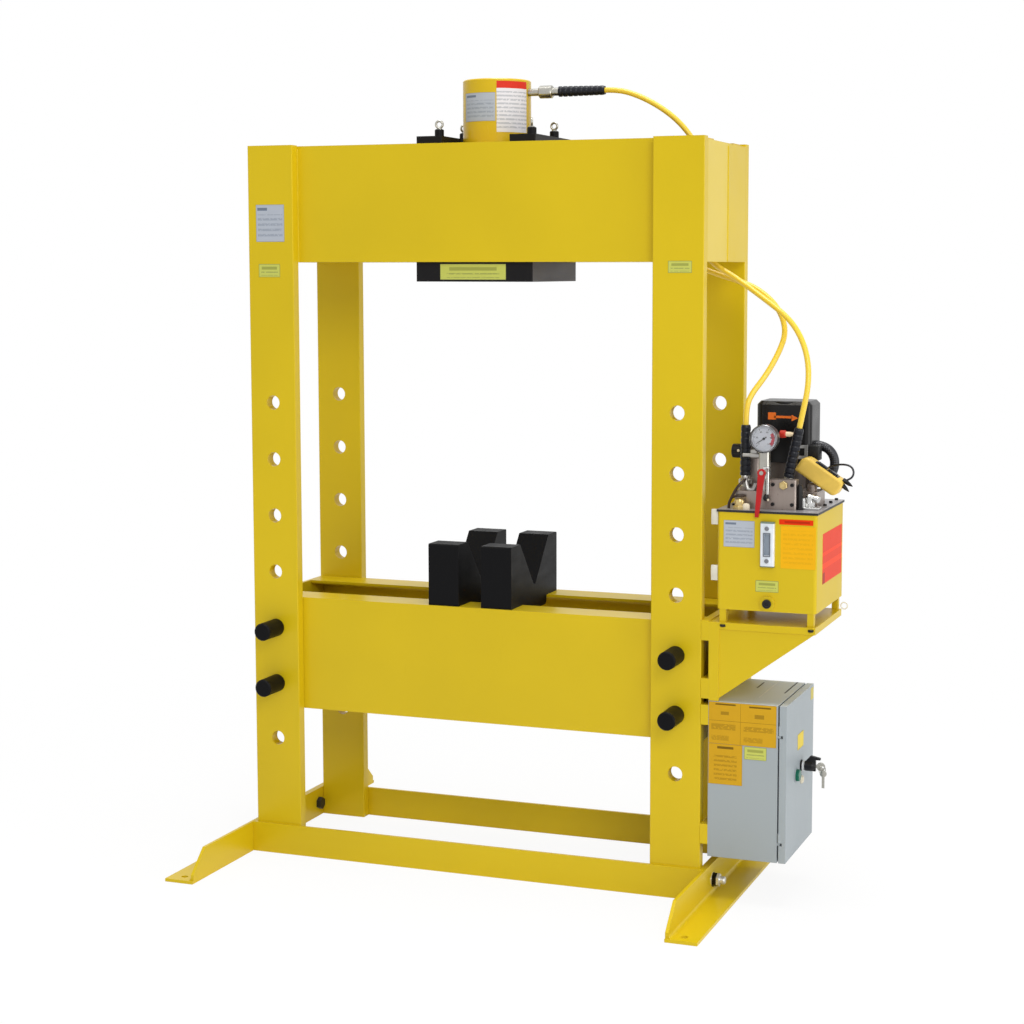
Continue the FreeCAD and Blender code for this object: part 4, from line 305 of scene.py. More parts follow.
def cast_black(name, tone, rough=0.42, grain=260.0, depth=0.2, worn=(92, 88, 86), accent=()):
    """Brushed-on black on rough steel: brush strokes, paler edges that are partly rubbed paint and partly a
    painted highlight, and a little dust.
    """
    finish = Finish(name, Specular_IOR_Level=0.12)
    soft = finish.rounded(trim().edge_radius)
    edge = finish.edges(soft)
    strokes = finish.noise(30.0, 4.0, 0.6, finish.stretched((1.0, 0.25, 1.0)))
    dust = finish.noise(6.0, 5.0, 0.65).ramp(0.5, 0.85)
    body = finish.mix(strokes, tinted(tone, 0.75), tinted(tone, 1.25))
    dusty = finish.mix(dust * 0.2, body, tinted(tone, 2.2))
    # The worn tone on the edges is partly rubbed paint and partly a painted highlight.
    return finish.feed(
        Base_Color=patched(finish, finish.mix(edge * (0.4 * trim().wear_and_edge_highlight), dusty, display(*worn)), accent),
        Roughness=rough + (strokes - 0.5) * 0.25 + dust * 0.15,
        Normal=finish.bump(finish.noise(grain, 3.0), depth, 0.0008, soft),
    )


def bare_metal(name, tone, rough=0.28, stretch=(1.0, 1.0, 12.0), metallic=1.0):
    """Turned or plated metal: fine tool marks along one way, stains and bright edges."""
    finish = Finish(name)
    soft = finish.rounded(0.0006)
    marks = finish.noise(160.0, 3.0, 0.6, finish.stretched(stretch))
    stain = finish.noise(22.0, 4.0, 0.6).ramp(0.45, 0.8)
    body = finish.mix(marks, tinted(tone, 0.86), tinted(tone, 1.1))
    return finish.feed(
        Base_Color=finish.mix(stain * 0.35, body, tinted(tone, 0.6)), Metallic=metallic,
        Roughness=rough + (marks - 0.5) * 0.16 + stain * 0.12, Normal=finish.bump(marks, 0.12, 0.0003, soft),
    )


def moulded(name, tone, rough=0.42, grain=900.0, depth=0.2, speck=0.10, accent=()):
    """Moulded plastic or rubber: fine leather grain and slight fading; accent is (part, tone)."""
    finish = Finish(name, Specular_IOR_Level=0.28)
    soft = finish.rounded(0.0012)
    fade = finish.noise(14.0, 4.0, 0.6)
    body = finish.mix(fade.ramp(0.3, 0.7), tinted(tone, 1.0 - speck), tinted(tone, 1.0 + speck))
    # Lighter edges: partly handling wear and partly a painted highlight along the rounded edges.
    worn = finish.mix(finish.edges(soft) * (0.35 * trim().wear_and_edge_highlight), body, tinted(tone, 1.7))
    return finish.feed(
        Base_Color=patched(finish, worn, accent), Roughness=rough + (fade - 0.5) * 0.2,
        Normal=finish.bump(finish.noise(grain, 2.0, 0.5), depth, 0.0004, soft),
    )


def powder_coat(name, tone, accent=()):
    """Fine textured powder coat, a little darker towards the bottom."""
    finish = Finish(name, Specular_IOR_Level=0.25)
    soft = finish.rounded(0.0015)
    up = finish.axes()[2]
    # Darker towards the bottom, mottled by noise.
    low_darkening = (1.0 - up.ramp(0.11, 0.30)) * finish.noise(12.0, 4.0)
    drift = finish.mix(finish.noise(3.0, 3.0), tinted(tone, 0.94), tinted(tone, 1.04))
    darkened_low = finish.mix(low_darkening * 0.3, drift, tinted(tone, 0.7))
    # Lighter edges: partly rubbed powder coat and partly a painted highlight.
    rubbed_and_highlit = finish.mix(finish.edges(soft) * (0.4 * trim().wear_and_edge_highlight), darkened_low, tinted(tone, 1.25))
    return finish.feed(
        Base_Color=patched(finish, rubbed_and_highlit, accent),
        Roughness=0.46 + (finish.noise(40.0) - 0.5) * 0.1,
        Normal=finish.bump(finish.noise(1100.0, 2.0), 0.22, 0.0004, soft),
    )


def sheath(name, tone, rough=0.32, ring=0.0):
    """Hose sheath: smooth plastic with faint scuffs and, where asked, moulded rings."""
    finish = Finish(name, Coat_Weight=0.2, Coat_Roughness=0.2)
    scuff = finish.noise(60.0, 5.0, 0.65).ramp(0.55, 0.8)
    body = finish.mix(finish.noise(8.0, 3.0), tinted(tone, 0.92), tinted(tone, 1.05))
    height = finish.noise(500.0, 2.0)
    if ring:
        across, along, up = finish.axes()
        height = height * 0.2 + ((up * (math.tau / ring)).wave() + (across * (math.tau / ring)).wave()) * 0.5
    return finish.feed(
        Base_Color=finish.mix(scuff * 0.12, body, tinted(tone, 0.66)), Roughness=rough + scuff * 0.15,
        Normal=finish.bump(height, 0.3 if ring else 0.08, 0.0012 if ring else 0.0004),
    )


def halves(name, part, first, second, accent=()):
    """Two surfaces on one node, each (tone, metallic, rough): first where part is 0, second where it is 1."""
    finish = Finish(name)
    chosen = part(*finish.axes())
    marks = finish.noise(240.0, 3.0)
    tone = finish.mix(chosen, first[0], second[0])
    dull = finish.mix(chosen, tinted(first[0], 0.7), tinted(second[0], 0.7))
    return finish.feed(
        Base_Color=patched(finish, finish.mix(marks * 0.3, tone, dull), accent),
        Metallic=chosen * (second[1] - first[1]) + first[1],
        Roughness=chosen * (second[2] - first[2]) + first[2] + (marks - 0.5) * 0.1,
        Normal=finish.bump(marks, 0.15, 0.0003, finish.rounded(0.0006)),
    )


def clear_plastic(name, tone, rough=0.05):
    finish = Finish(name, Transmission_Weight=1.0, IOR=1.46)
    haze = finish.noise(30.0, 3.0)
    return finish.feed(
        Base_Color=finish.mix(haze, tone, tinted(tone, 0.97)), Roughness=rough + haze * 0.04,
        Normal=finish.bump(haze, 0.03, 0.0004),
    )


def printed(name, ground, low, high, axis=0, fields=(), ruled=(), ink=None):
    """A stuck-on plate: its ground colour, plain fields, ruled rows and a thin border.

    low and high are the plate's corners as (along, up); fields are (left, right, bottom, top, tone) and ruled
    are (left, right, bottom, top, rows, tone), in shares of the plate.
    """
    finish = Finish(name, Specular_IOR_Level=0.15)
    parts = finish.axes()
    right = (parts[axis] - low[0]) / (high[0] - low[0])
    rise = (parts[2] - low[1]) / (high[1] - low[1])
    tone = finish.mix(finish.noise(40.0, 4.0), tinted(ground, 0.94), tinted(ground, 1.03))
    for left, far, bottom, top, shade in fields:
        tone = finish.mix(right.between(left, far) * rise.between(bottom, top), tone, shade)
    for left, far, bottom, top, rows, shade in ruled:
        ragged = (finish.noise(220.0, 2.0) > 0.42) * ((rise * (math.tau * rows)).wave() > 0.1)
        tone = finish.mix(ragged * right.between(left, far) * rise.between(bottom, top) * 0.42, tone, shade)
    if ink:
        sides = 0.001 / (high[0] - low[0]), 0.001 / (high[1] - low[1])
        inner = right.between(sides[0], 1 - sides[0]) * rise.between(sides[1], 1 - sides[1])
        tone = finish.mix((1.0 - inner) * 0.6, tone, ink)
    worn = finish.noise(90.0, 5.0, 0.7).ramp(0.6, 0.8)
    return finish.feed(
        Base_Color=finish.mix(worn * 0.12, tone, tinted(ground, 0.7)), Roughness=0.45 + worn * 0.2,
        Normal=finish.bump(finish.noise(30.0, 3.0), 0.08, 0.0005),
    )


# ---- hand modelling ------------------------------------------------------------------

AS_IS = (1.0, 1.0, 1.0)
TOUCHING = 0.000001  # vertices nearer than this are made one, in metres


def deselect():
    bpy.ops.object.select_all(action="DESELECT")


def only(piece):
    deselect()
    piece.select_set(True)
    bpy.context.view_layer.objects.active = piece


def settle(name, scale=AS_IS):
    """Names and sizes the piece just added and moves its place into its mesh."""
    piece = bpy.context.object
    piece.name = piece.data.name = name
    piece.scale = scale
    bpy.ops.object.transform_apply(location=True, rotation=True, scale=True)
    return piece


def primitive(kind, name, scale=AS_IS, **settings):
    """A primitive at its size and place, to be shaped further."""
    deselect()
    getattr(bpy.ops.mesh, f"primitive_{kind}_add")(**settings)
    return settle(name, scale)


def shape(piece, kind, wanted, operation, **settings):
    """Runs one edit-mode operation on the faces or edges that wanted(centre, direction) accepts."""
    only(piece)
    bpy.ops.object.mode_set(mode="EDIT")
    bpy.ops.mesh.select_mode(type=kind)
    bpy.ops.mesh.select_all(action="DESELECT")
    bpy.ops.object.mode_set(mode="OBJECT")
    mesh = piece.data
    if kind == "FACE":
        for face in mesh.polygons:
            face.select = wanted(face.center, face.normal)
    else:
        for edge in mesh.edges:
            first, last = (mesh.vertices[i].co for i in edge.vertices)
            edge.select = wanted((first + last) / 2, (last - first).normalized())
    bpy.ops.object.mode_set(mode="EDIT")
    operation(**settings)
    bpy.ops.object.mode_set(mode="OBJECT")
    return piece


def whole(piece, operation, **settings):
    """Runs one edit-mode operation on all of a piece."""
    return shape(piece, "FACE", lambda centre, way: True, operation, **settings)


def modified(piece, kind, **settings):
    """Adds a modifier with its settings and applies it."""
    only(piece)
    modifier = piece.modifiers.new(kind, kind)
    for name, value in settings.items():
        setattr(modifier, name, value)
    bpy.ops.object.modifier_apply(modifier=modifier.name)
    return piece


def block(low, high, edge=0.0, segments=2):
    """A block between two corners in millimetres, with its edges bevelled."""
    low, high = mm(*low), mm(*high)
    deselect()
    bpy.ops.mesh.primitive_cube_add(size=1.0, location=(low + high) / 2, scale=high - low)
    piece = settle("block")
    if edge:
        whole(piece, bpy.ops.mesh.bevel, offset=edge / 1000, segments=segments)
    return piece


def turned(start, axis, profile, sides=24):
    """A turned piece: a disc extruded along the axis and resized at each (distance, radius) in mm."""
    start, axis = mm(*start), Vector(axis).normalized()
    piece = primitive(
        "circle", "turned", vertices=sides, radius=profile[0][1] / 1000, fill_type="NGON",
        location=start + axis * (profile[0][0] / 1000), rotation=axis.to_track_quat("Z", "Y").to_euler(),
    )
    bpy.ops.object.mode_set(mode="EDIT")
    bpy.ops.mesh.select_all(action="SELECT")
    for (before, old), (distance, radius) in zip(profile, profile[1:]):
        step = axis * ((distance - before) / 1000)
        bpy.ops.mesh.extrude_region_move(TRANSFORM_OT_translate={"value": step})
        bpy.ops.transform.resize(value=(radius / old,) * 3, center_override=start + axis * (distance / 1000))
    bpy.ops.object.mode_set(mode="OBJECT")
    return piece


def framed(sheet, middle, border, thickness):
    """A flat sheet made a frame: inset by border, its middle removed, then thickened, in millimetres."""
    whole(sheet, bpy.ops.mesh.inset, thickness=border / 1000)
    shape(
        sheet, "FACE", lambda centre, way: (centre - middle).length < border / 4000,
        bpy.ops.mesh.delete, type="FACE",
    )
    return modified(sheet, "SOLIDIFY", thickness=thickness / 1000, offset=1.0)


def window(low, high, border, thickness):
    """A flat frame between two corners that faces -Y."""
    low, high = mm(*low), mm(*high)
    middle, span = (low + high) / 2, high - low
    sheet = primitive(
        "plane", "window", (span.x, span.z, 1.0), size=1.0, location=middle, rotation=(math.pi / 2, 0.0, 0.0),
    )
    return framed(sheet, middle, border, thickness)


def threaded(curve, points):
    """Gives a curve one smooth line through its control points, in metres."""
    spline = curve.splines.new("NURBS")
    spline.points.add(len(points) - 1)
    for point, place in zip(spline.points, points):
        point.co = (*place, 1.0)
    spline.order_u, spline.use_endpoint_u = 3, True


def pipe(points, radius):
    """A rigid bent pipe along points in millimetres."""
    deselect()
    bpy.ops.curve.primitive_nurbs_path_add()
    curve = bpy.context.object.data
    curve.splines.clear()
    threaded(curve, [mm(*place) for place in points])
    curve.bevel_depth, curve.bevel_resolution, curve.resolution_u = radius / 1000, 3, 8
    curve.use_fill_caps = True
    bpy.ops.object.convert(target="MESH")
    return settle("pipe")


def copied(piece, shift):
    """A copy of a piece with its own mesh, moved by shift in millimetres."""
    only(piece)
    bpy.ops.object.duplicate_move(
        OBJECT_OT_duplicate={"linked": False}, TRANSFORM_OT_translate={"value": mm(*shift)},
    )
    return settle("copy")


def dress(name, pieces, material, body="frame", angle=35.0):
    """Joins pieces, cleans and smooths their mesh, gives them a finish and sets them on their body."""
    only(pieces[0])
    for other in pieces[1:]:
        other.select_set(True)
    if len(pieces) > 1:
        bpy.ops.object.join()
    piece = settle(name)
    whole(piece, bpy.ops.mesh.remove_doubles, threshold=TOUCHING)
    whole(piece, bpy.ops.mesh.normals_make_consistent, inside=False)
    bpy.ops.object.shade_smooth_by_angle(angle=math.radians(angle))
    piece.data.materials.clear()
    piece.data.materials.append(material)
    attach(piece, body)


# ---- parts of a node in another tone: each is 1 where the tone lies ---------------------

SKIN = 0.0004  # how far below a face its tone reaches, in metres
FOOT_WASHERS = 0.640, 0.6505  # where the right foot's washers lie across
SWITCH_RING = 0.0172, 0.0225  # where the key switch's ring lies, from the box's side


# The top face of the control box, painted paler as painted light.
def box_top_painted_light(across, along, up):
    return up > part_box("box_shell")[1].z - SKIN


def cover_top(across, along, up):
    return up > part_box("tank_cover")[1].z - SKIN


def on_foot_right(across, along, up):
    return across > 0.0


def plate_end_painted_reflection(across, along, up):
    """The right end of the bottom clamp plate, painted paler as a painted reflection of the light from the
    right.
    """
    return (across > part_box("bottom_clamp_plate")[1].x - SKIN) * (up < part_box("bottom_clamp_plate")[1].z)


def head_sheen(across, along, up):
    """A faint painted sheen: a paler tone standing in for a reflection on the front half of the head's right
    end.
    """
    return (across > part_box("head_end_plates")[1].x - SKIN) * (along < 0.004) * 0.22


def foot_washer(across, along, up):
    return across.between(*FOOT_WASHERS)


def sight_window(across, along, up):
    low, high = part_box("sight_gauge")
    middle, half = (low + high) / 2, mm(7.0, 0.0, 26.0)
    beside = across.between(middle.x - half.x, middle.x + half.x)
    return beside * up.between(middle.z - half.z, middle.z + half.z)


def sight_metal(across, along, up):
    """The two ends of the sight gauge."""
    low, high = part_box("sight_gauge")
    return (up > high.z - 0.004) + (up < low.z + 0.003)


def pendant_seam(across, along, up):
    """The parting line round the pendant's shell."""
    low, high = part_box("pendant_body")
    middle = (low.y + high.y) / 2
    return along.between(middle - 0.0006, middle + 0.0006)


def switch_ring(across, along, up):
    """The plated ring between the door and the switch's grip."""
    near, far = (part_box("box_shell")[1].x + distance for distance in SWITCH_RING)
    return across.between(near, far)


class PRESS_OT_finishes(bpy.types.Operator):
    """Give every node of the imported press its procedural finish"""

    bl_idname = "press.finishes"
    bl_label = "Frame finishes"

    def execute(self, context):
        tone, silver = colours(), display(186, 188, 190)
        wearers = (
            (sheet_paint("sprayed_yellow", tone.frame_paint),
             "column_ head_channel bed_channel bed_end_plates base_ties feet foot_spacers side_rails "
             "pump_bracket"),
            (sheet_paint("tank_yellow", tone.frame_paint, rough=0.42), "tank_shell"),
            # Painted sheen on the front half of the head's right end.
            (sheet_paint("head_end_yellow", tone.frame_paint, accent=((head_sheen, display(240, 222, 130)),)),
             "head_end_plates"),
            (sheet_paint("barrel_yellow", tone.cylinder_paint, rough=0.26, mottle=0.05), "cylinder_barrel"),
            # Painted reflection: the right end of the bottom clamp plate is painted paler.
            (cast_black("blackened_plate", tone.plate_black, accent=((plate_end_painted_reflection, display(74, 72, 74)),)),
             "top_clamp_bars bottom_clamp_plate clamp_bolts"),
            (cast_black("black_casting", tone.block_black, rough=0.5, grain=180.0, depth=0.3), "v_block"),
            (cast_black("pin_black", tone.block_black, rough=0.45, depth=0.15), "bed_pin"),
            (cast_black("motor_grey", display(98, 90, 86), rough=0.3), "pump_motor"),
            (bare_metal("plated_steel", display(178, 176, 168)),
             "cylinder_gland ram_piston ram_saddle hose_couplers gauge_adapter switch_key lifting_eyes"),
            (bare_metal("hard_chrome", display(205, 206, 208), rough=0.12), "ram_rod"),
            (bare_metal("gauge_steel", display(150, 150, 152), rough=0.25), "gauge_case"),
            (bare_metal("valve_casting", display(150, 138, 130), 0.3, (1.0, 1.0, 0.2), 0.6), "valve_block"),
            (moulded("ribbed_rubber", tone.rubber, rough=0.34), "hose_sleeves"),
            (moulded("shroud_black", display(9, 8, 8), rough=0.3, depth=0.1), "motor_shroud"),
            (moulded("black_plastic", display(22, 21, 22), rough=0.35, depth=0.1),
             "drain_plug pressure_knob"),
            (moulded("switch_plastic", display(22, 21, 24), rough=0.35, accent=((switch_ring, silver),)),
             "key_switch"),
            (moulded("needle_black", display(18, 18, 18)), "gauge_needle"),
            (moulded("sight_white", display(222, 228, 234), rough=0.2, accent=(
                (sight_window, display(150, 160, 172)), (sight_metal, display(104, 120, 104)),
            )), "sight_gauge"),
            (moulded("dipped_red", tone.lever_red, rough=0.3), "valve_lever"),
            (moulded("pendant_shell", tone.pendant_yellow, rough=0.38, accent=(
                (pendant_seam, tinted(tone.pendant_yellow, 0.45)),
            )), "pendant_body"),
            (moulded("button_black", display(34, 34, 38), rough=0.3), "pendant_button"),
            (moulded("button_green", tone.green_button, rough=0.25), "start_button"),
            (moulded("lamp_beige", display(206, 198, 176), rough=0.22), "power_lamp"),
            (moulded("contactor_grey", display(86, 88, 90)), "box_contactor"),
            # Painted light: the top face of the control box is painted paler.
            (powder_coat("grey_powder_coat", tone.box_grey, ((box_top_painted_light, display(196, 204, 206)),)),
             "box_shell box_door"),
            (halves(
                "foot_bolts", on_foot_right, (display(20, 19, 19), 0.0, 0.45),
                (display(226, 226, 224), 0.6, 0.3), ((foot_washer, display(24, 22, 22)),),
            ), "foot_fasteners"),
            (halves(
                "plated_cover", cover_top, (display(12, 12, 12), 0.0, 0.5),
                (display(150, 146, 148), 0.3, 0.36),
            ), "tank_cover"),
            (clear_plastic("gauge_glass", (1.0, 1.0, 1.0), rough=0.01), "gauge_lens"),
        )
        for material, starts in wearers:
            for name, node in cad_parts.items():
                if name.startswith(tuple(starts.split())):
                    node.data.materials.clear()
                    node.data.materials.append(material)
        return {"FINISHED"}


# ---- hoses and cables ----------------------------------------------------------------

ADVANCE_ROUTE = (
    (0.2965, 0.0, 2.018), (0.3345, 0.0, 2.018), (0.388, 0.0, 2.001), (0.44, 0.0, 1.974), (0.488, 0.0, 1.939),
    (0.526, 0.0, 1.896), (0.552, 0.001, 1.846), (0.559, -0.001, 1.784), (0.552, -0.002, 1.718),
    (0.543, -0.003, 1.657), (0.558, -0.004, 1.611), (0.591, -0.006, 1.575), (0.636, -0.012, 1.55),
    (0.682, -0.021, 1.521), (0.735, -0.036, 1.486), (0.79, -0.052, 1.448), (0.826, -0.066, 1.405),
    (0.85, -0.082, 1.348), (0.856, -0.098, 1.284), (0.8448, -0.11, 1.2162), (0.837, -0.11, 1.179),
)
RETRACT_ROUTE = (
    (0.2965, 0.0, 1.625), (0.3345, 0.0, 1.625), (0.4, 0.011, 1.617), (0.46, 0.02, 1.6), (0.53, 0.026, 1.575),
    (0.59, 0.025, 1.552), (0.645, 0.02, 1.536), (0.692, 0.013, 1.519), (0.738, 0.001, 1.487),
    (0.768, -0.014, 1.449), (0.782, -0.034, 1.406), (0.772, -0.062, 1.36), (0.748, -0.09, 1.306),
    (0.716, -0.12, 1.257), (0.708, -0.13, 1.223), (0.708, -0.13, 1.185),
)
CABLE_ROUTE = (
    (0.9446, -0.07, 1.0499), (0.9559, -0.07, 1.054), (0.963, -0.069, 1.062), (0.964, -0.067, 1.073),
    (0.9585, -0.064, 1.0825), (0.9485, -0.06, 1.087), (0.9345, -0.055, 1.088), (0.9175, -0.049, 1.086),
    (0.901, -0.042, 1.081), (0.888, -0.035, 1.072), (0.88, -0.029, 1.059), (0.875, -0.025, 1.039),
    (0.875, -0.025, 1.021),
)
CONDUIT_ROUTE = (
    (0.848, 0.025, 1.126), (0.863, 0.025, 1.126), (0.887, 0.026, 1.113), (0.898, 0.027, 1.086),
    (0.891, 0.026, 1.056), (0.872, 0.025, 1.037), (0.848, 0.025, 1.03), (0.836, 0.025, 1.03),
)


def laid(name, node, route, diameter, material):
    """A hose or cable: one smooth line through its control points, in place of its node."""
    curve = bpy.data.curves.new(name, "CURVE")
    curve.dimensions, curve.resolution_u, curve.bevel_resolution = "3D", 12, 6
    curve.bevel_depth, curve.use_fill_caps = diameter / 2, True
    threaded(curve, route)
    piece = bpy.data.objects.new(name, curve)
    bpy.context.scene.collection.objects.link(piece)
    curve.materials.append(material)
    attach(piece, "frame")
    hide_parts(node)


class PRESS_OT_hoses(bpy.types.Operator):
    """Lay the two hydraulic hoses between the cylinder and the pump"""

    bl_idname = "press.hoses"
    bl_label = "Hydraulic hoses"

    def execute(self, context):
        sheathing = sheath("hose_sheath", colours().hose_yellow)
        laid("advance_hose", "hose_advance", ADVANCE_ROUTE, 0.014, sheathing)
        laid("retract_hose", "hose_retract", RETRACT_ROUTE, 0.014, sheathing)
        return {"FINISHED"}


class PRESS_OT_cables(bpy.types.Operator):
    """Lay the pendant's cable and the motor's conduit"""

    bl_idname = "press.cables"
    bl_label = "Pendant cable and conduit"

    def execute(self, context):
        tone = colours().rubber
        plain, ringed = sheath("cable_sheath", tone), sheath("conduit_rings", tone, 0.42, 0.005)
        laid("hand_cable", "pendant_cable", CABLE_ROUTE, 0.005, plain)
        laid("conduit", "motor_conduit", CONDUIT_ROUTE, 0.024, ringed)
        return {"FINISHED"}


# ---- plates --------------------------------------------------------------------------

COVER_OVERHANG = 2.0  # how far the tank's cover stands out over its front, in mm
DOOR_DEPTH = 12.0  # how far the door's face stands out over the box's side, in mm


def flat_plate(name, side, level, span, rise, corner=1.2, body="frame", **prints):
    """A stuck-on plate with rounded corners, on a face that looks along -Y or, at the side, along +X."""
    depth = trim().plate_thickness * 1000
    if side:
        low, high, thin = (level, span[0], rise[0]), (level + depth, span[1], rise[1]), 0
    else:
        low, high, thin = (span[0], level - depth, rise[0]), (span[1], level, rise[1]), 1
    piece = block(low, high)
    shape(
        piece, "EDGE", lambda centre, way: abs(way[thin]) > 0.9, bpy.ops.mesh.bevel,
        offset=corner / 1000, segments=3,
    )
    low, high = ((span[end] / 1000, rise[end] / 1000) for end in (0, 1))
    dress(name, [piece], printed(name + "_print", low=low, high=high, axis=int(side), **prints), body)


def curved_plate(name, radius, turn, rise, material):
    """A plate wrapped round the barrel between two angles, measured from the front towards the right."""
    depth = trim().plate_thickness * 1000
    start, reach = math.radians(turn[0]), radius + depth / 2
    piece = primitive(
        "plane", name, mm(depth, rise[1] - rise[0], 1000.0), size=1.0,
        location=mm(reach * math.sin(start), -reach * math.cos(start), sum(rise) / 2),
        rotation=(math.pi / 2, 0.0, start + math.pi / 2),
    )
    whole(
        piece, bpy.ops.mesh.spin, steps=24, angle=-math.radians(turn[1] - turn[0]),
        center=(0.0, 0.0, 0.0), axis=(0.0, 0.0, 1.0),
    )
    dress(name, [piece], material)


class PRESS_OT_plates(bpy.types.Operator):
    """Stick the plain plates on the columns, the clamp plate, the tank, the barrel and the control box"""

    bl_idname = "press.plates"
    bl_label = "Stuck-on plates"

    def execute(self, context):
        tone = colours()
        lime, amber, orange, faded = tone.plate_lime, tone.plate_amber, tone.plate_orange, tone.box_amber
        ink, slate = display(70, 76, 70), display(112, 122, 138)
        darkest, darker, dark, light, lighter = (tinted(faded, part) for part in (0.3, 0.35, 0.45, 0.5, 0.6))
        rating = {
            "ground": tone.plate_grey, "ink": slate, "ruled": ((0.06, 0.94, 0.08, 0.74, 7, slate),),
            "fields": ((0.05, 0.4, 0.84, 0.92, slate),),
        }
        small = {
            "ground": lime, "ink": ink, "ruled": ((0.1, 0.9, 0.12, 0.42, 3, ink),),
            "fields": ((0.14, 0.86, 0.58, 0.8, tinted(lime, 0.62)),),
        }
        band = {"ground": orange, "fields": ((0.16, 0.9, 0.3, 0.7, tinted(orange, 0.6)),)}
        rows = {"ground": amber, "ruled": ((0.06, 0.92, 0.1, 0.9, 9, tinted(amber, 0.78)),)}
        striped = {"ground": orange, "fields": (
            (0.0, 1.0, 0.3, 0.4, tinted(orange, 1.5)), (0.0, 1.0, 0.56, 0.62, tinted(orange, 1.4)),
            (0.0, 0.12, 0.0, 0.22, tinted(orange, 0.5)),
        )}
        quartered = {"ground": faded, "ink": lighter, "ruled": (
            (0.04, 0.40, 0.30, 0.48, 3, darker), (0.52, 0.96, 0.28, 0.46, 3, darker),
            (0.04, 0.30, 0.08, 0.20, 2, dark), (0.52, 0.80, 0.08, 0.20, 2, dark),
        ), "fields": (
            (0.10, 0.40, 0.93, 0.97, darkest), (0.60, 0.92, 0.91, 0.95, darkest),
            (0.18, 0.3, 0.70, 0.78, lighter), (0.68, 0.82, 0.66, 0.76, lighter),
            (0.0, 1.0, 0.55, 0.56, light), (0.47, 0.475, 0.0, 1.0, light),
        )}
        headed = {
            "ground": faded, "ink": lighter, "ruled": ((0.16, 0.84, 0.06, 0.78, 9, darker),),
            "fields": ((0.26, 0.74, 0.88, 0.94, darkest),),
        }
        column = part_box("column_front_left")[0].y * 1000
        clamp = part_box("bottom_clamp_plate")[0].y * 1000
        box_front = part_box("box_shell")[0].y * 1000
        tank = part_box("tank_cover")[0].y * 1000 + COVER_OVERHANG
        tank_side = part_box("tank_shell")[1].x * 1000
        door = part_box("box_shell")[1].x * 1000 + DOOR_DEPTH
        for name, side, level, span, rise, prints in (
            ("column_rating_plate", False, column, (-597, -515), (1636, 1732), rating),
            ("column_lime_plate_left", False, column, (-591, -529), (1544, 1578), small),
            ("column_lime_plate_right", False, column, (530, 590), (1556, 1585), small),
            ("clamp_lime_plate", False, clamp, (-93, 88), (1538, 1578), small),
            ("tank_rating_plate", False, tank, (674, 751), (892, 957), rating),
            ("tank_orange_band", False, tank, (812, 896), (952, 965), band),
            ("tank_amber_plate", False, tank, (816.6, 902.7), (845.6, 948.4), rows),
            ("tank_lime_plate", False, tank, (755, 812), (785, 813), small),
            ("tank_side_plate", True, tank_side, (-138, 80), (800, 924), striped),
            ("box_amber_plate_top", False, box_front, (641, 812), (402, 506), quartered),
            ("box_amber_plate_low", False, box_front, (641, 727), (300, 401.6), headed),
            ("box_lime_plate", False, box_front, (732, 788), (368, 400), small),
            ("door_field", True, door, (-92, -28), (371, 411),
             {"ground": display(226, 200, 60), "ink": ink, "body": "door", "corner": 3.0}),
            ("door_corner_field", True, door, (48, 78), (470, 500),
             {"ground": display(200, 186, 96), "body": "door"}),
        ):
            flat_plate(name, side, level, span, rise, **prints)
        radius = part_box("cylinder_barrel")[1].x * 1000
        curved_plate("barrel_grey_plate", radius, (-43.0, 19.0), (1942, 2014), printed(
            "barrel_grey_print", low=(-0.06, 1.942), high=(0.03, 2.014), **rating,
        ))
        curved_plate("barrel_white_plate", radius, (21.0, 80.0), (1914, 2043), printed(
            "barrel_white_print", display(232, 230, 234), (0.03, 1.914), (0.09, 2.043),
            fields=((-1.0, 2.0, 0.86, 1.1, display(216, 52, 34)),),
            ruled=((-1.0, 2.0, 0.06, 0.8, 13, slate),),
        ))
        return {"FINISHED"}


# ---- welds ---------------------------------------------------------------------------


class PRESS_OT_welds(bpy.types.Operator):
    """Lay rippled weld beads along the head and the bracket"""

    bl_idname = "press.welds"
    bl_label = "Weld beads"

    def execute(self, context):
        paint = sheet_paint("weld_yellow", colours().frame_paint, peel=0.2)
        head, head_top = (corner.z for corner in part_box("head_end_plates"))
        column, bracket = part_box("column_front_right"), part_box("pump_bracket")
        inset = 0.003
        seams = [
            (f"weld_head_{side}_{rear}", side * column[0].x, rear * column[1].y, head + inset, head_top)
            for side in (-1, 1) for rear in (-1, 1)
        ]
        seams.append(("weld_head_end", column[1].x, 0.006, head + inset, head_top - inset))
        seams.append((
            "weld_bracket", bracket[0].x, bracket[0].y + 0.004, bracket[0].z + 0.03, bracket[1].z - 0.02,
        ))
        for name, across, along, bottom, top in seams:
            self.bead(name.replace("-1", "low"), (across, along, bottom), top - bottom, paint)
        return {"FINISHED"}

    def bead(self, name, start, rise, paint):
        """One upright weld: a row of flattened balls that rises from start."""
        width, step = trim().weld_width, trim().weld_step
        ripple = primitive(
            "uv_sphere", name, (width, width, width * 1.25), segments=10, ring_count=6, radius=0.5,
            location=start,
        )
        modified(
            ripple, "ARRAY", use_relative_offset=False, use_constant_offset=True,
            constant_offset_displace=(0.0, 0.0, step), count=int(rise / step),
        )
        dress(name, [ripple], paint, angle=60.0)


# ---- gauge ---------------------------------------------------------------------------


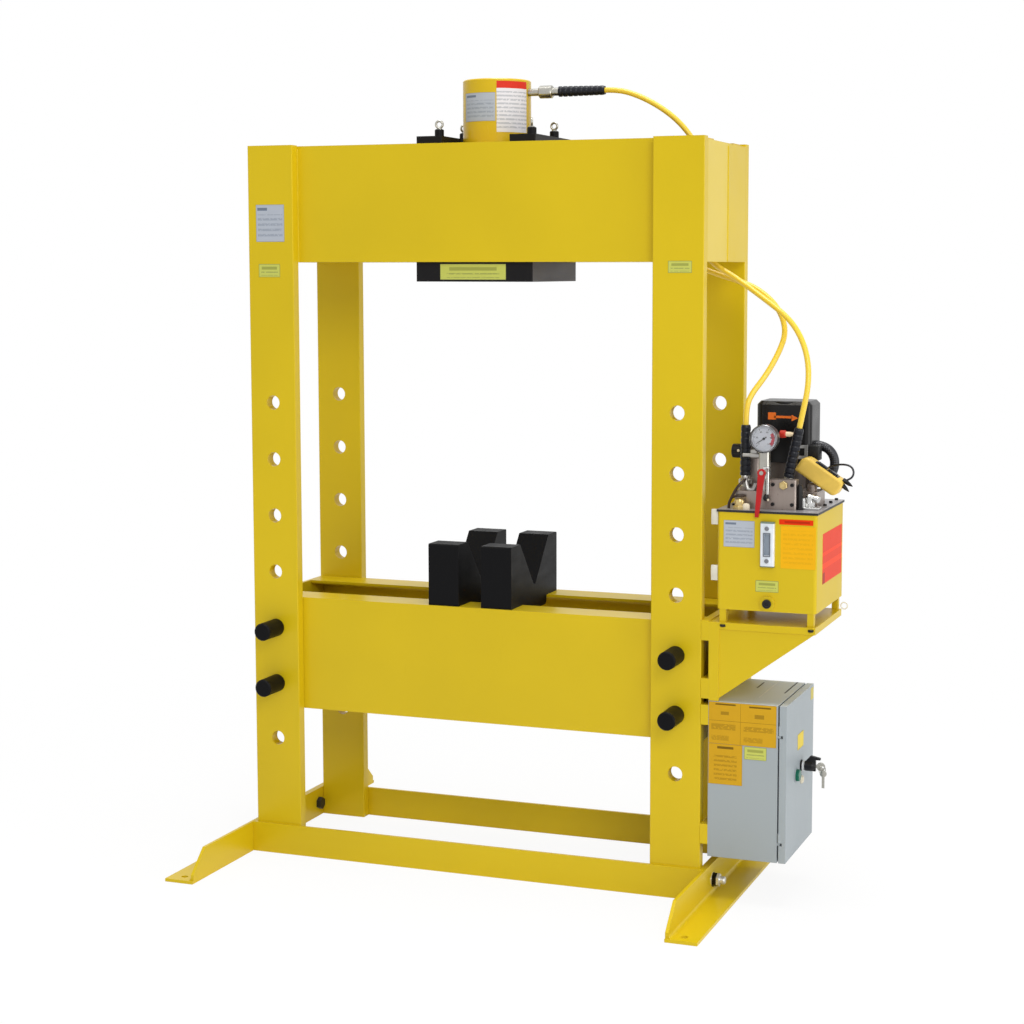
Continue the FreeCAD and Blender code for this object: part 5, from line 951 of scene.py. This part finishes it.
class PRESS_OT_gauge(bpy.types.Operator):
    """Make the dial of the pressure gauge, with its marks and numbers"""

    bl_idname = "press.gauge"
    bl_label = "Gauge dial"

    top_reading = 100
    sweep = 270.0
    divisions = 50
    numbers = 5
    number_radius = 17.8

    def execute(self, context):
        low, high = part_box("gauge_case")
        middle = (low + high) / 2
        middle.y = low.y + 0.009
        self.dial(middle)
        marks = [self.mark(middle, index) for index in range(self.divisions + 1)]
        for index in range(self.numbers + 1):
            turn = math.radians(self.sweep * (index / self.numbers - 0.5))
            shift = mm(math.sin(turn) * self.number_radius, 0.0, math.cos(turn) * self.number_radius)
            marks.append(self.number(str(self.top_reading * index // self.numbers), middle + shift))
        dress("dial_marks", marks, moulded("dial_ink", display(24, 24, 26)))
        return {"FINISHED"}

    def dial(self, middle):
        """The white plate of the gauge with its red field."""
        face = middle * 1000
        plate = turned(
            (face.x, face.y + 0.6, face.z), FORWARD, ((0.0, 30.0), (0.3, 30.5), (0.6, 30.0)), sides=64,
        )
        white = Finish("dial_white", Specular_IOR_Level=0.4)
        across, along, up = white.axes()
        right, rise = across - middle.x, up - middle.z
        far = (right ** 2.0 + rise ** 2.0) ** 0.5
        turn = right.maths("ARCTAN2", rise)
        ragged = (white.noise(500.0, 3.0) - 0.5) * 0.006
        ring = (far + ragged).between(0.0185, 0.0268)
        danger = ring * turn.between(math.radians(56.0), math.radians(132.0))
        paper = white.mix(white.noise(60.0), display(206, 210, 220), display(226, 228, 234))
        dress("dial_plate", [plate], white.feed(
            Base_Color=white.mix(danger, paper, display(200, 36, 60)),
            Roughness=0.45 + (white.noise(90.0) - 0.5) * 0.1,
        ))

    def mark(self, middle, index):
        """One line of the scale: long and thick at each tenth, shorter at the fifth between."""
        inner = 22.5 if index % 10 == 0 else (24.5 if index % 5 == 0 else 25.8)
        outer, half, face = 27.2, (0.2 if index % 10 else 0.5), middle * 1000
        line = block(
            (face.x - half, face.y - 0.3, face.z + inner), (face.x + half, face.y, face.z + outer), 0.05, 1,
        )
        turn = math.radians(self.sweep * (index / self.divisions - 0.5))
        return whole(line, bpy.ops.transform.rotate, value=-turn, orient_axis="Y", center_override=middle)

    def number(self, text, place):
        deselect()
        bpy.ops.object.text_add(location=place, rotation=(math.pi / 2, 0.0, 0.0))
        lettering = bpy.context.object.data
        lettering.body, lettering.size, lettering.extrude = text, 0.0058, 0.00015
        lettering.align_x, lettering.align_y = "CENTER", "CENTER"
        bpy.ops.object.convert(target="MESH")
        return settle("number")


# ---- pump, tank and box trim, in millimetres -------------------------------------------

FORWARD, ACROSS, UPWARD = (0, -1, 0), (1, 0, 0), (0, 0, 1)
SCREW = ((0, 4.5), (3.8, 4.5), (4.5, 4), (4.5, 2.5), (2.2, 2.3))
MANIFOLD = -165  # where the front of the valve's manifold lies along


class PRESS_OT_pump_trim(bpy.types.Operator):
    """Fit the small pipes, plugs, screws and clips of the pump"""

    bl_idname = "press.pump_trim"
    bl_label = "Pump trim"

    def execute(self, context):
        chrome = bare_metal("fitting_chrome", display(206, 206, 204), rough=0.16)
        brass = bare_metal("fitting_brass", display(204, 182, 128), rough=0.3)
        silver = bare_metal("fitting_silver", display(168, 166, 162), rough=0.34)
        black = moulded("fitting_black", display(22, 21, 21), rough=0.4)
        cream = moulded("fitting_cream", display(226, 214, 188), rough=0.35)
        brown = moulded("pipe_brown", display(52, 38, 30), rough=0.3)
        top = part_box("tank_cover")[1].z * 1000
        screw = turned((889, -112, top), UPWARD, SCREW, 20)
        screws = [screw] + [copied(screw, (0, 66 * step, 0)) for step in (1, 2, 3)]
        screws += [copied(piece, (-215, 0, 0)) for piece in list(screws)]
        dress("cover_screws", screws, black)
        dress("filler_cap", [
            turned((708, -184, top), UPWARD, ((0, 16), (7, 16.5), (9, 15), (9, 12), (13, 12)), 6),
            turned((708, -184, top + 13), UPWARD, ((0, 12), (6, 13), (11, 11), (14, 6), (14.5, 2))),
        ], brass)
        breather = turned((725, -187, top), UPWARD, ((0, 9), (9, 9.5), (13, 8), (15, 4)))
        dress("breather_cap", [breather], cream)
        dress("leak_pipe", [
            pipe((
                (716, -150, 1056), (708, -168, 1046), (697, -176, 1032), (684, -177, 1006), (679, -177, 996),
                (679, -177, top),
            ), 3.6),
            pipe(((718, -168, 1014), (706, -176, 1016), (692, -176, 1012), (686, -176, 1010)), 3),
        ], brown)
        dress("hose_elbow", [
            pipe((
                (712, -150, 1062), (715, -152, 1044), (722, -154, 1026), (736, -154, 1027), (740, -152, 1044),
            ), 6),
            turned((712, -150, 1053), UPWARD, ((0, 8), (1, 8.8), (7, 8.8), (8, 8)), 6),
            turned((706, -148, 1112), ACROSS, (
                (0, 5), (20, 5), (20, 7.5), (42, 7.5), (42, 5), (50, 5),
            ), 16),
            block((726, -154, 1118), (742, -142, 1126), 1),
        ], silver)
        dress("relief_rod", [
            turned((774.5, -172, 1020), UPWARD, ((0, 3.4), (2, 3.6), (62, 3.6), (64, 3))),
            block((764, -178, 1076), (779, -164, 1088), 1.5),
        ], chrome)
        grip = turned((770.5, -172, 1004), UPWARD, (
            (0, 3), (2, 5.6), (6, 6.8), (11, 6.2), (15, 4), (17, 3.5),
        ))
        dress("relief_knob", [grip], black)
        dot = turned((777, -175.6, 1007), FORWARD, ((0, 3), (2.4, 2.8), (3.2, 1.8)), 16)
        dress("relief_mark", [dot], cream)
        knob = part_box("pressure_knob")[0].y * 1000
        dot = turned((684, knob + 0.3, 1119), FORWARD, ((0, 3.6), (0.5, 3.6), (0.8, 3)), 16)
        dress("knob_mark", [dot], cream, body="pressure_knob")
        plug = turned((812.7, MANIFOLD, 1043), FORWARD, (
            (0, 11), (6, 11), (7, 10), (7, 6), (10, 5.5), (10, 3),
        ), 6)
        dress("manifold_plug", [plug], brass)
        dress("manifold_bolts", [
            turned((across, MANIFOLD, up), FORWARD, SCREW, 16)
            for across, up in ((786, 1044), (834, 1044), (786, 996), (834, 996))
        ], black)
        post = turned((850, -150, top), UPWARD, (
            (0, 9.5), (5, 9.5), (5, 7.8), (56, 7.8), (58, 6.5), (61, 6.5),
        ), 6)
        dress("gauge_post", [post], black)
        dress("return_fittings", [
            block((851, -149, top), (896, -108, top + 6), 1.2),
            turned((869, -128, top + 6), UPWARD, ((0, 13), (1, 14), (9, 14), (10, 13)), 6),
            turned((869, -128, top + 16), UPWARD, ((0, 10), (10, 10), (10, 12), (18, 12), (20, 10))),
            turned((872, -128, 1012), (1, -0.25, -0.25), ((0, 7), (14, 7), (14, 9), (22, 9), (23, 7))),
            turned((857, -140, top + 6), UPWARD, ((0, 5), (20, 5), (22, 3.5)), 6),
        ], chrome)
        return {"FINISHED"}


class PRESS_OT_shroud_trim(bpy.types.Operator):
    """Fit the arrow, the clip, the terminal cover and the dust cap by the motor's shroud"""

    bl_idname = "press.shroud_trim"
    bl_label = "Shroud trim"

    def execute(self, context):
        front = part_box("motor_shroud")[0].y * 1000
        orange = moulded("arrow_orange", display(236, 116, 36), rough=0.4)
        silver = bare_metal("clip_silver", display(196, 196, 194), rough=0.3)
        black = moulded("terminal_black", display(20, 20, 20), rough=0.45)
        red = moulded("cap_red", display(196, 52, 38), rough=0.35)
        cream = moulded("cap_cream", display(226, 204, 168), rough=0.35)
        head = block((799, front - 0.5, 1189), (815, front, 1205))
        shape(head, "FACE", lambda centre, way: way.x > 0.9, bpy.ops.transform.resize, value=(1.0, 1.0, 0.06))
        dress("turning_arrow", [
            block((739, front - 0.5, 1192), (759, front, 1210), 0.2, 1),
            block((755, front - 0.5, 1196), (801, front, 1202), 0.2, 1), head,
        ], orange)
        dress("cable_clip", [window((812, front - 1, 1096), (842, front - 1, 1131), 8, 4)], silver)
        dress("terminal_cover", [block((838, front + 2, 1092), (868, 8, 1130), 3, 3)], black)
        cap = turned((788, -110, 1163), ACROSS, ((0, 6), (1.5, 9), (4, 9.5), (14, 9.5), (16, 8)))
        dress("dust_cap", [cap], red)
        stem = turned((803, -110, 1163), ACROSS, ((0, 6.2), (12, 6.2), (14, 5), (27, 5)))
        dress("dust_cap_stem", [stem], cream)
        return {"FINISHED"}


class PRESS_OT_pendant_trim(bpy.types.Operator):
    """Fit the switch strip and the split strain relief of the pendant"""

    bl_idname = "press.pendant_trim"
    bl_label = "Pendant trim"

    tilt = math.radians(33.0)

    def execute(self, context):
        black = moulded("strip_black", display(20, 20, 22), rough=0.35)
        corners = [*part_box("pendant_button_down"), *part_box("pendant_button_up")]
        raised = Vector((math.sin(self.tilt), 0.0, math.cos(self.tilt))) * 0.001
        middle = sum(corners, Vector()) / len(corners) + raised
        strip = primitive(
            "plane", "strip", mm(67.0, 24.0, 1000.0), size=1.0, location=middle,
            rotation=(0.0, self.tilt, 0.0),
        )
        dress("switch_strip", [framed(strip, middle, 4.4, 1.2)], black)
        dress("relief_fingers", [
            turned((940, -78, 1052), (0.93, -0.1, -0.42), ((0, 6), (10, 5.5), (22, 1)), 4),
            turned((938, -78, 1040), (0.72, -0.1, -0.66), ((0, 6), (12, 5), (24, 1)), 4),
            turned((944, -66, 1046), (0.85, 0.1, -0.54), ((0, 5), (10, 4.5), (20, 1)), 4),
        ], black)
        return {"FINISHED"}


class PRESS_OT_tank_trim(bpy.types.Operator):
    """Fit the tray bolts, the side tabs and the tie ring of the tank, and the sight glass's screws and rim"""

    bl_idname = "press.tank_trim"
    bl_label = "Tank trim"

    def execute(self, context):
        black = moulded("tray_bolt_black", display(20, 19, 18), rough=0.4)
        pale = moulded("tab_pale", display(222, 218, 202), rough=0.4)
        grey = bare_metal("sight_screw_grey", display(132, 134, 140), rough=0.35)
        slate = moulded("sight_rim", display(96, 102, 112), rough=0.35)
        near, far = (corner * 1000 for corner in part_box("pump_bracket"))
        bolt = turned((674.5, near.y + 2, far.z - 10), UPWARD, ((0, 6.5), (1, 7.5), (5, 7.5), (6, 6.5)))
        dress("tray_bolts", [bolt, copied(bolt, (219.5, 0, 0))], black)
        tank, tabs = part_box("tank_shell")[0].x * 1000, []
        for low, high in ((944, 982), (806, 844)):
            tab = block((tank - 18, -198, low), (tank, -190, high), 2)
            narrowed = (1.0, 1.0, 0.35)
            tabs.append(shape(
                tab, "FACE", lambda centre, way: way.x < -0.9, bpy.ops.transform.resize, value=narrowed,
            ))
        dress("side_tabs", tabs, pale)
        ring = primitive(
            "torus", "ring", major_radius=0.0085, minor_radius=0.0016, major_segments=32, minor_segments=10,
            location=mm(far.x + 6.5, far.y + 3.0, 711.5), rotation=(math.pi / 2, 0.0, 0.0),
        )
        shape(
            ring, "FACE", lambda centre, way: centre.x < far.x / 1000, bpy.ops.transform.resize,
            value=(1.0, 1.3, 1.0),
        )
        dress("tie_ring", [ring], pale)
        low, high = (corner * 1000 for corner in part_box("sight_gauge"))
        middle = (low + high) / 2
        flat_head = ((0, 5.5), (1.2, 5.5), (1.8, 4.8), (1.8, 2.2), (0.6, 2.0))
        dress("sight_screws", [
            turned((middle.x, low.y, up), FORWARD, flat_head, 20) for up in (low.z + 16, high.z - 16)
        ], grey)
        rim = window(
            (middle.x - 9, low.y - 0.1, middle.z - 29), (middle.x + 9, low.y - 0.1, middle.z + 29), 2, 0.8,
        )
        dress("sight_rim", [rim], slate)
        return {"FINISHED"}


class PRESS_OT_box_trim(bpy.types.Operator):
    """Fit the slots (dark blocks of painted shade) and the streak of the control box and the second key on
    its ring
    """

    bl_idname = "press.box_trim"
    bl_label = "Control box trim"

    def execute(self, context):
        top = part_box("box_shell")[1].z * 1000
        dark = moulded("slot_painted_shade", display(62, 62, 60), rough=0.6)
        pale = moulded("top_streak", display(214, 216, 212), rough=0.4)
        steel = bare_metal("key_steel", display(176, 174, 166), rough=0.3)
        # The slots are not cut: thin dark blocks stand for them as painted shade.
        dress("top_slots", [
            block((across - 2, near, top - 0.2), (across + 2, far, top + 0.3), 0.1, 1)
            for across, near, far in ((715, -20, 50), (796, -60, 80))
        ], dark)
        dress("top_streak", [block((746.6, -128, top - 0.1), (749.2, 74, top + 0.3), 0.1, 1)], pale)
        low, high = (corner * 1000 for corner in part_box("switch_key"))
        along, tip = (low.y + high.y) / 2, high.x
        bow = turned(
            (tip - 4, along - 5, 309), (0, 1, 0), ((0, 8.2), (0.3, 8.8), (1.5, 8.8), (1.8, 8.2)), 20,
        )
        blade = block((tip - 7.5, along - 4.8, 272), (tip - 0.5, along - 3.4, 303), 0.3, 1)
        shape(
            blade, "FACE", lambda centre, way: way.z < -0.9, bpy.ops.transform.resize, value=(0.3, 1.0, 1.0),
        )
        ring = primitive(
            "torus", "ring", major_radius=0.0085, minor_radius=0.0009, major_segments=28, minor_segments=8,
            location=mm(tip - 7.0, along - 2.0, 318.0), rotation=(math.pi / 2, 0.0, 0.5),
        )
        whole(ring, bpy.ops.transform.resize, value=(1.0, 1.0, 1.15))
        dress("spare_key", [bow, blade, ring], steel, body="key_switch")
        return {"FINISHED"}


# ---- the stage -----------------------------------------------------------------------

WHITE = (1.0, 1.0, 1.0)
LAMPS = (  # name, place, aim, side in metres, power in watts
    ("key_lamp", (4.6, -6.8, 5.0), (0.4, 0.0, 0.8), 3.4, 216.0),
    ("side_lamp", (5.6, -1.2, 1.4), (0.6, 0.0, 0.5), 2.6, 62.0),
    ("top_lamp", (0.6, -0.2, 9.0), (0.3, 0.0, 0.0), 4.0, 500.0),
)


class PRESS_OT_stage(bpy.types.Operator):
    """Set the floor, the backdrop, the lamps and the camera"""

    bl_idname = "press.stage"
    bl_label = "Floor, lamps and camera"

    def execute(self, context):
        scene, setup = context.scene, context.scene.press_stage
        self.floor(setup)
        self.backdrop(scene, setup.sky)
        for name, place, aim, side, power in LAMPS:
            deselect()
            turn = (Vector(aim) - Vector(place)).to_track_quat("-Z", "Y").to_euler()
            bpy.ops.object.light_add(type="AREA", location=place, rotation=turn)
            lamp = context.object
            lamp.name, lamp.data.size, lamp.data.energy = name, side, power
        deselect()
        bpy.ops.object.camera_add(location=setup.camera_place, rotation=setup.camera_turn)
        scene.camera = context.object
        scene.camera.name = "studio_camera"
        lens = scene.camera.data
        lens.lens, lens.sensor_width = setup.camera_lens, 36.0
        lens.shift_x, lens.shift_y = setup.camera_shift
        scene.view_settings.view_transform = "Standard"
        return {"FINISHED"}

    def floor(self, setup):
        """A round floor that fades to white away from the press and keeps its shadow near it."""
        ground = primitive(
            "circle", "studio_floor", vertices=96, radius=setup.floor_radius, fill_type="NGON",
        )
        whole(ground, bpy.ops.mesh.inset, thickness=setup.floor_radius * 0.5)
        finish = Finish("studio_floor", Specular_IOR_Level=0.2, Roughness=0.8)
        across, along, up = finish.axes()
        far = (across * across + along * along) ** 0.5
        plain = finish.unlit_rays() * (0.9 + far.ramp(1.0, 3.0) * 0.1)
        glow = finish.node("ShaderNodeEmission", None, {"Color": WHITE, "Strength": 1.0})
        shader = Reading(finish, finish.shader.outputs[0])
        both = finish.node("ShaderNodeMixShader", None, {0: plain, 1: shader, 2: glow})
        tone = setup.floor_tone
        finish.feed(Base_Color=finish.mix(finish.noise(4.0), tinted(tone, 0.99), tone))
        finish.tree.links.new(both.socket, finish.tree.nodes["Material Output"].inputs["Surface"])
        ground.data.materials.append(finish.material)

    def backdrop(self, scene, sky):
        """Even light from all round, that the camera, a gloss and a glass see as white."""
        scene.world = bpy.data.worlds.new("studio")
        scene.world.use_nodes = True
        world = Shader(scene.world.node_tree)
        world.tree.nodes.clear()
        strength = sky + world.unlit_rays() * (1.0 - sky)
        light = world.node("ShaderNodeBackground", None, {"Color": WHITE, "Strength": strength})
        end = world.tree.nodes.new("ShaderNodeOutputWorld")
        world.tree.links.new(light.socket, end.inputs["Surface"])


# ---- panel and registration ------------------------------------------------------------

SETTINGS = {"press_colours": PressColours, "press_trim": PressTrim, "press_stage": PressStage}
OPERATORS = (
    PRESS_OT_stage, PRESS_OT_finishes, PRESS_OT_hoses, PRESS_OT_cables, PRESS_OT_plates, PRESS_OT_welds,
    PRESS_OT_gauge, PRESS_OT_pump_trim, PRESS_OT_shroud_trim, PRESS_OT_pendant_trim, PRESS_OT_tank_trim,
    PRESS_OT_box_trim,
)


class PRESS_PT_sidebar(bpy.types.Panel):
    """Settings and steps of the press"""

    bl_idname = "PRESS_PT_sidebar"
    bl_label = "Workshop press"
    bl_space_type = "VIEW_3D"
    bl_region_type = "UI"
    bl_category = "Press"

    def draw(self, context):
        for group, kind in SETTINGS.items():
            box = self.layout.box()
            box.label(text=group.split("_")[1].title())
            for name in kind.__annotations__:
                box.prop(getattr(context.scene, group), name)
        for operator in OPERATORS:
            self.layout.operator(operator.bl_idname)


def register():
    for kind in (*SETTINGS.values(), *OPERATORS, PRESS_PT_sidebar):
        bpy.utils.register_class(kind)
    for group, kind in SETTINGS.items():
        setattr(bpy.types.Scene, group, bpy.props.PointerProperty(type=kind))


def unregister():
    for group in SETTINGS:
        delattr(bpy.types.Scene, group)
    for kind in (PRESS_PT_sidebar, *reversed(OPERATORS), *reversed(SETTINGS.values())):
        bpy.utils.unregister_class(kind)


def main():
    register()
    for operator in OPERATORS:
        group, name = operator.bl_idname.split(".")
        getattr(getattr(bpy.ops, group), name)()


if __name__ == "__main__":
    main()
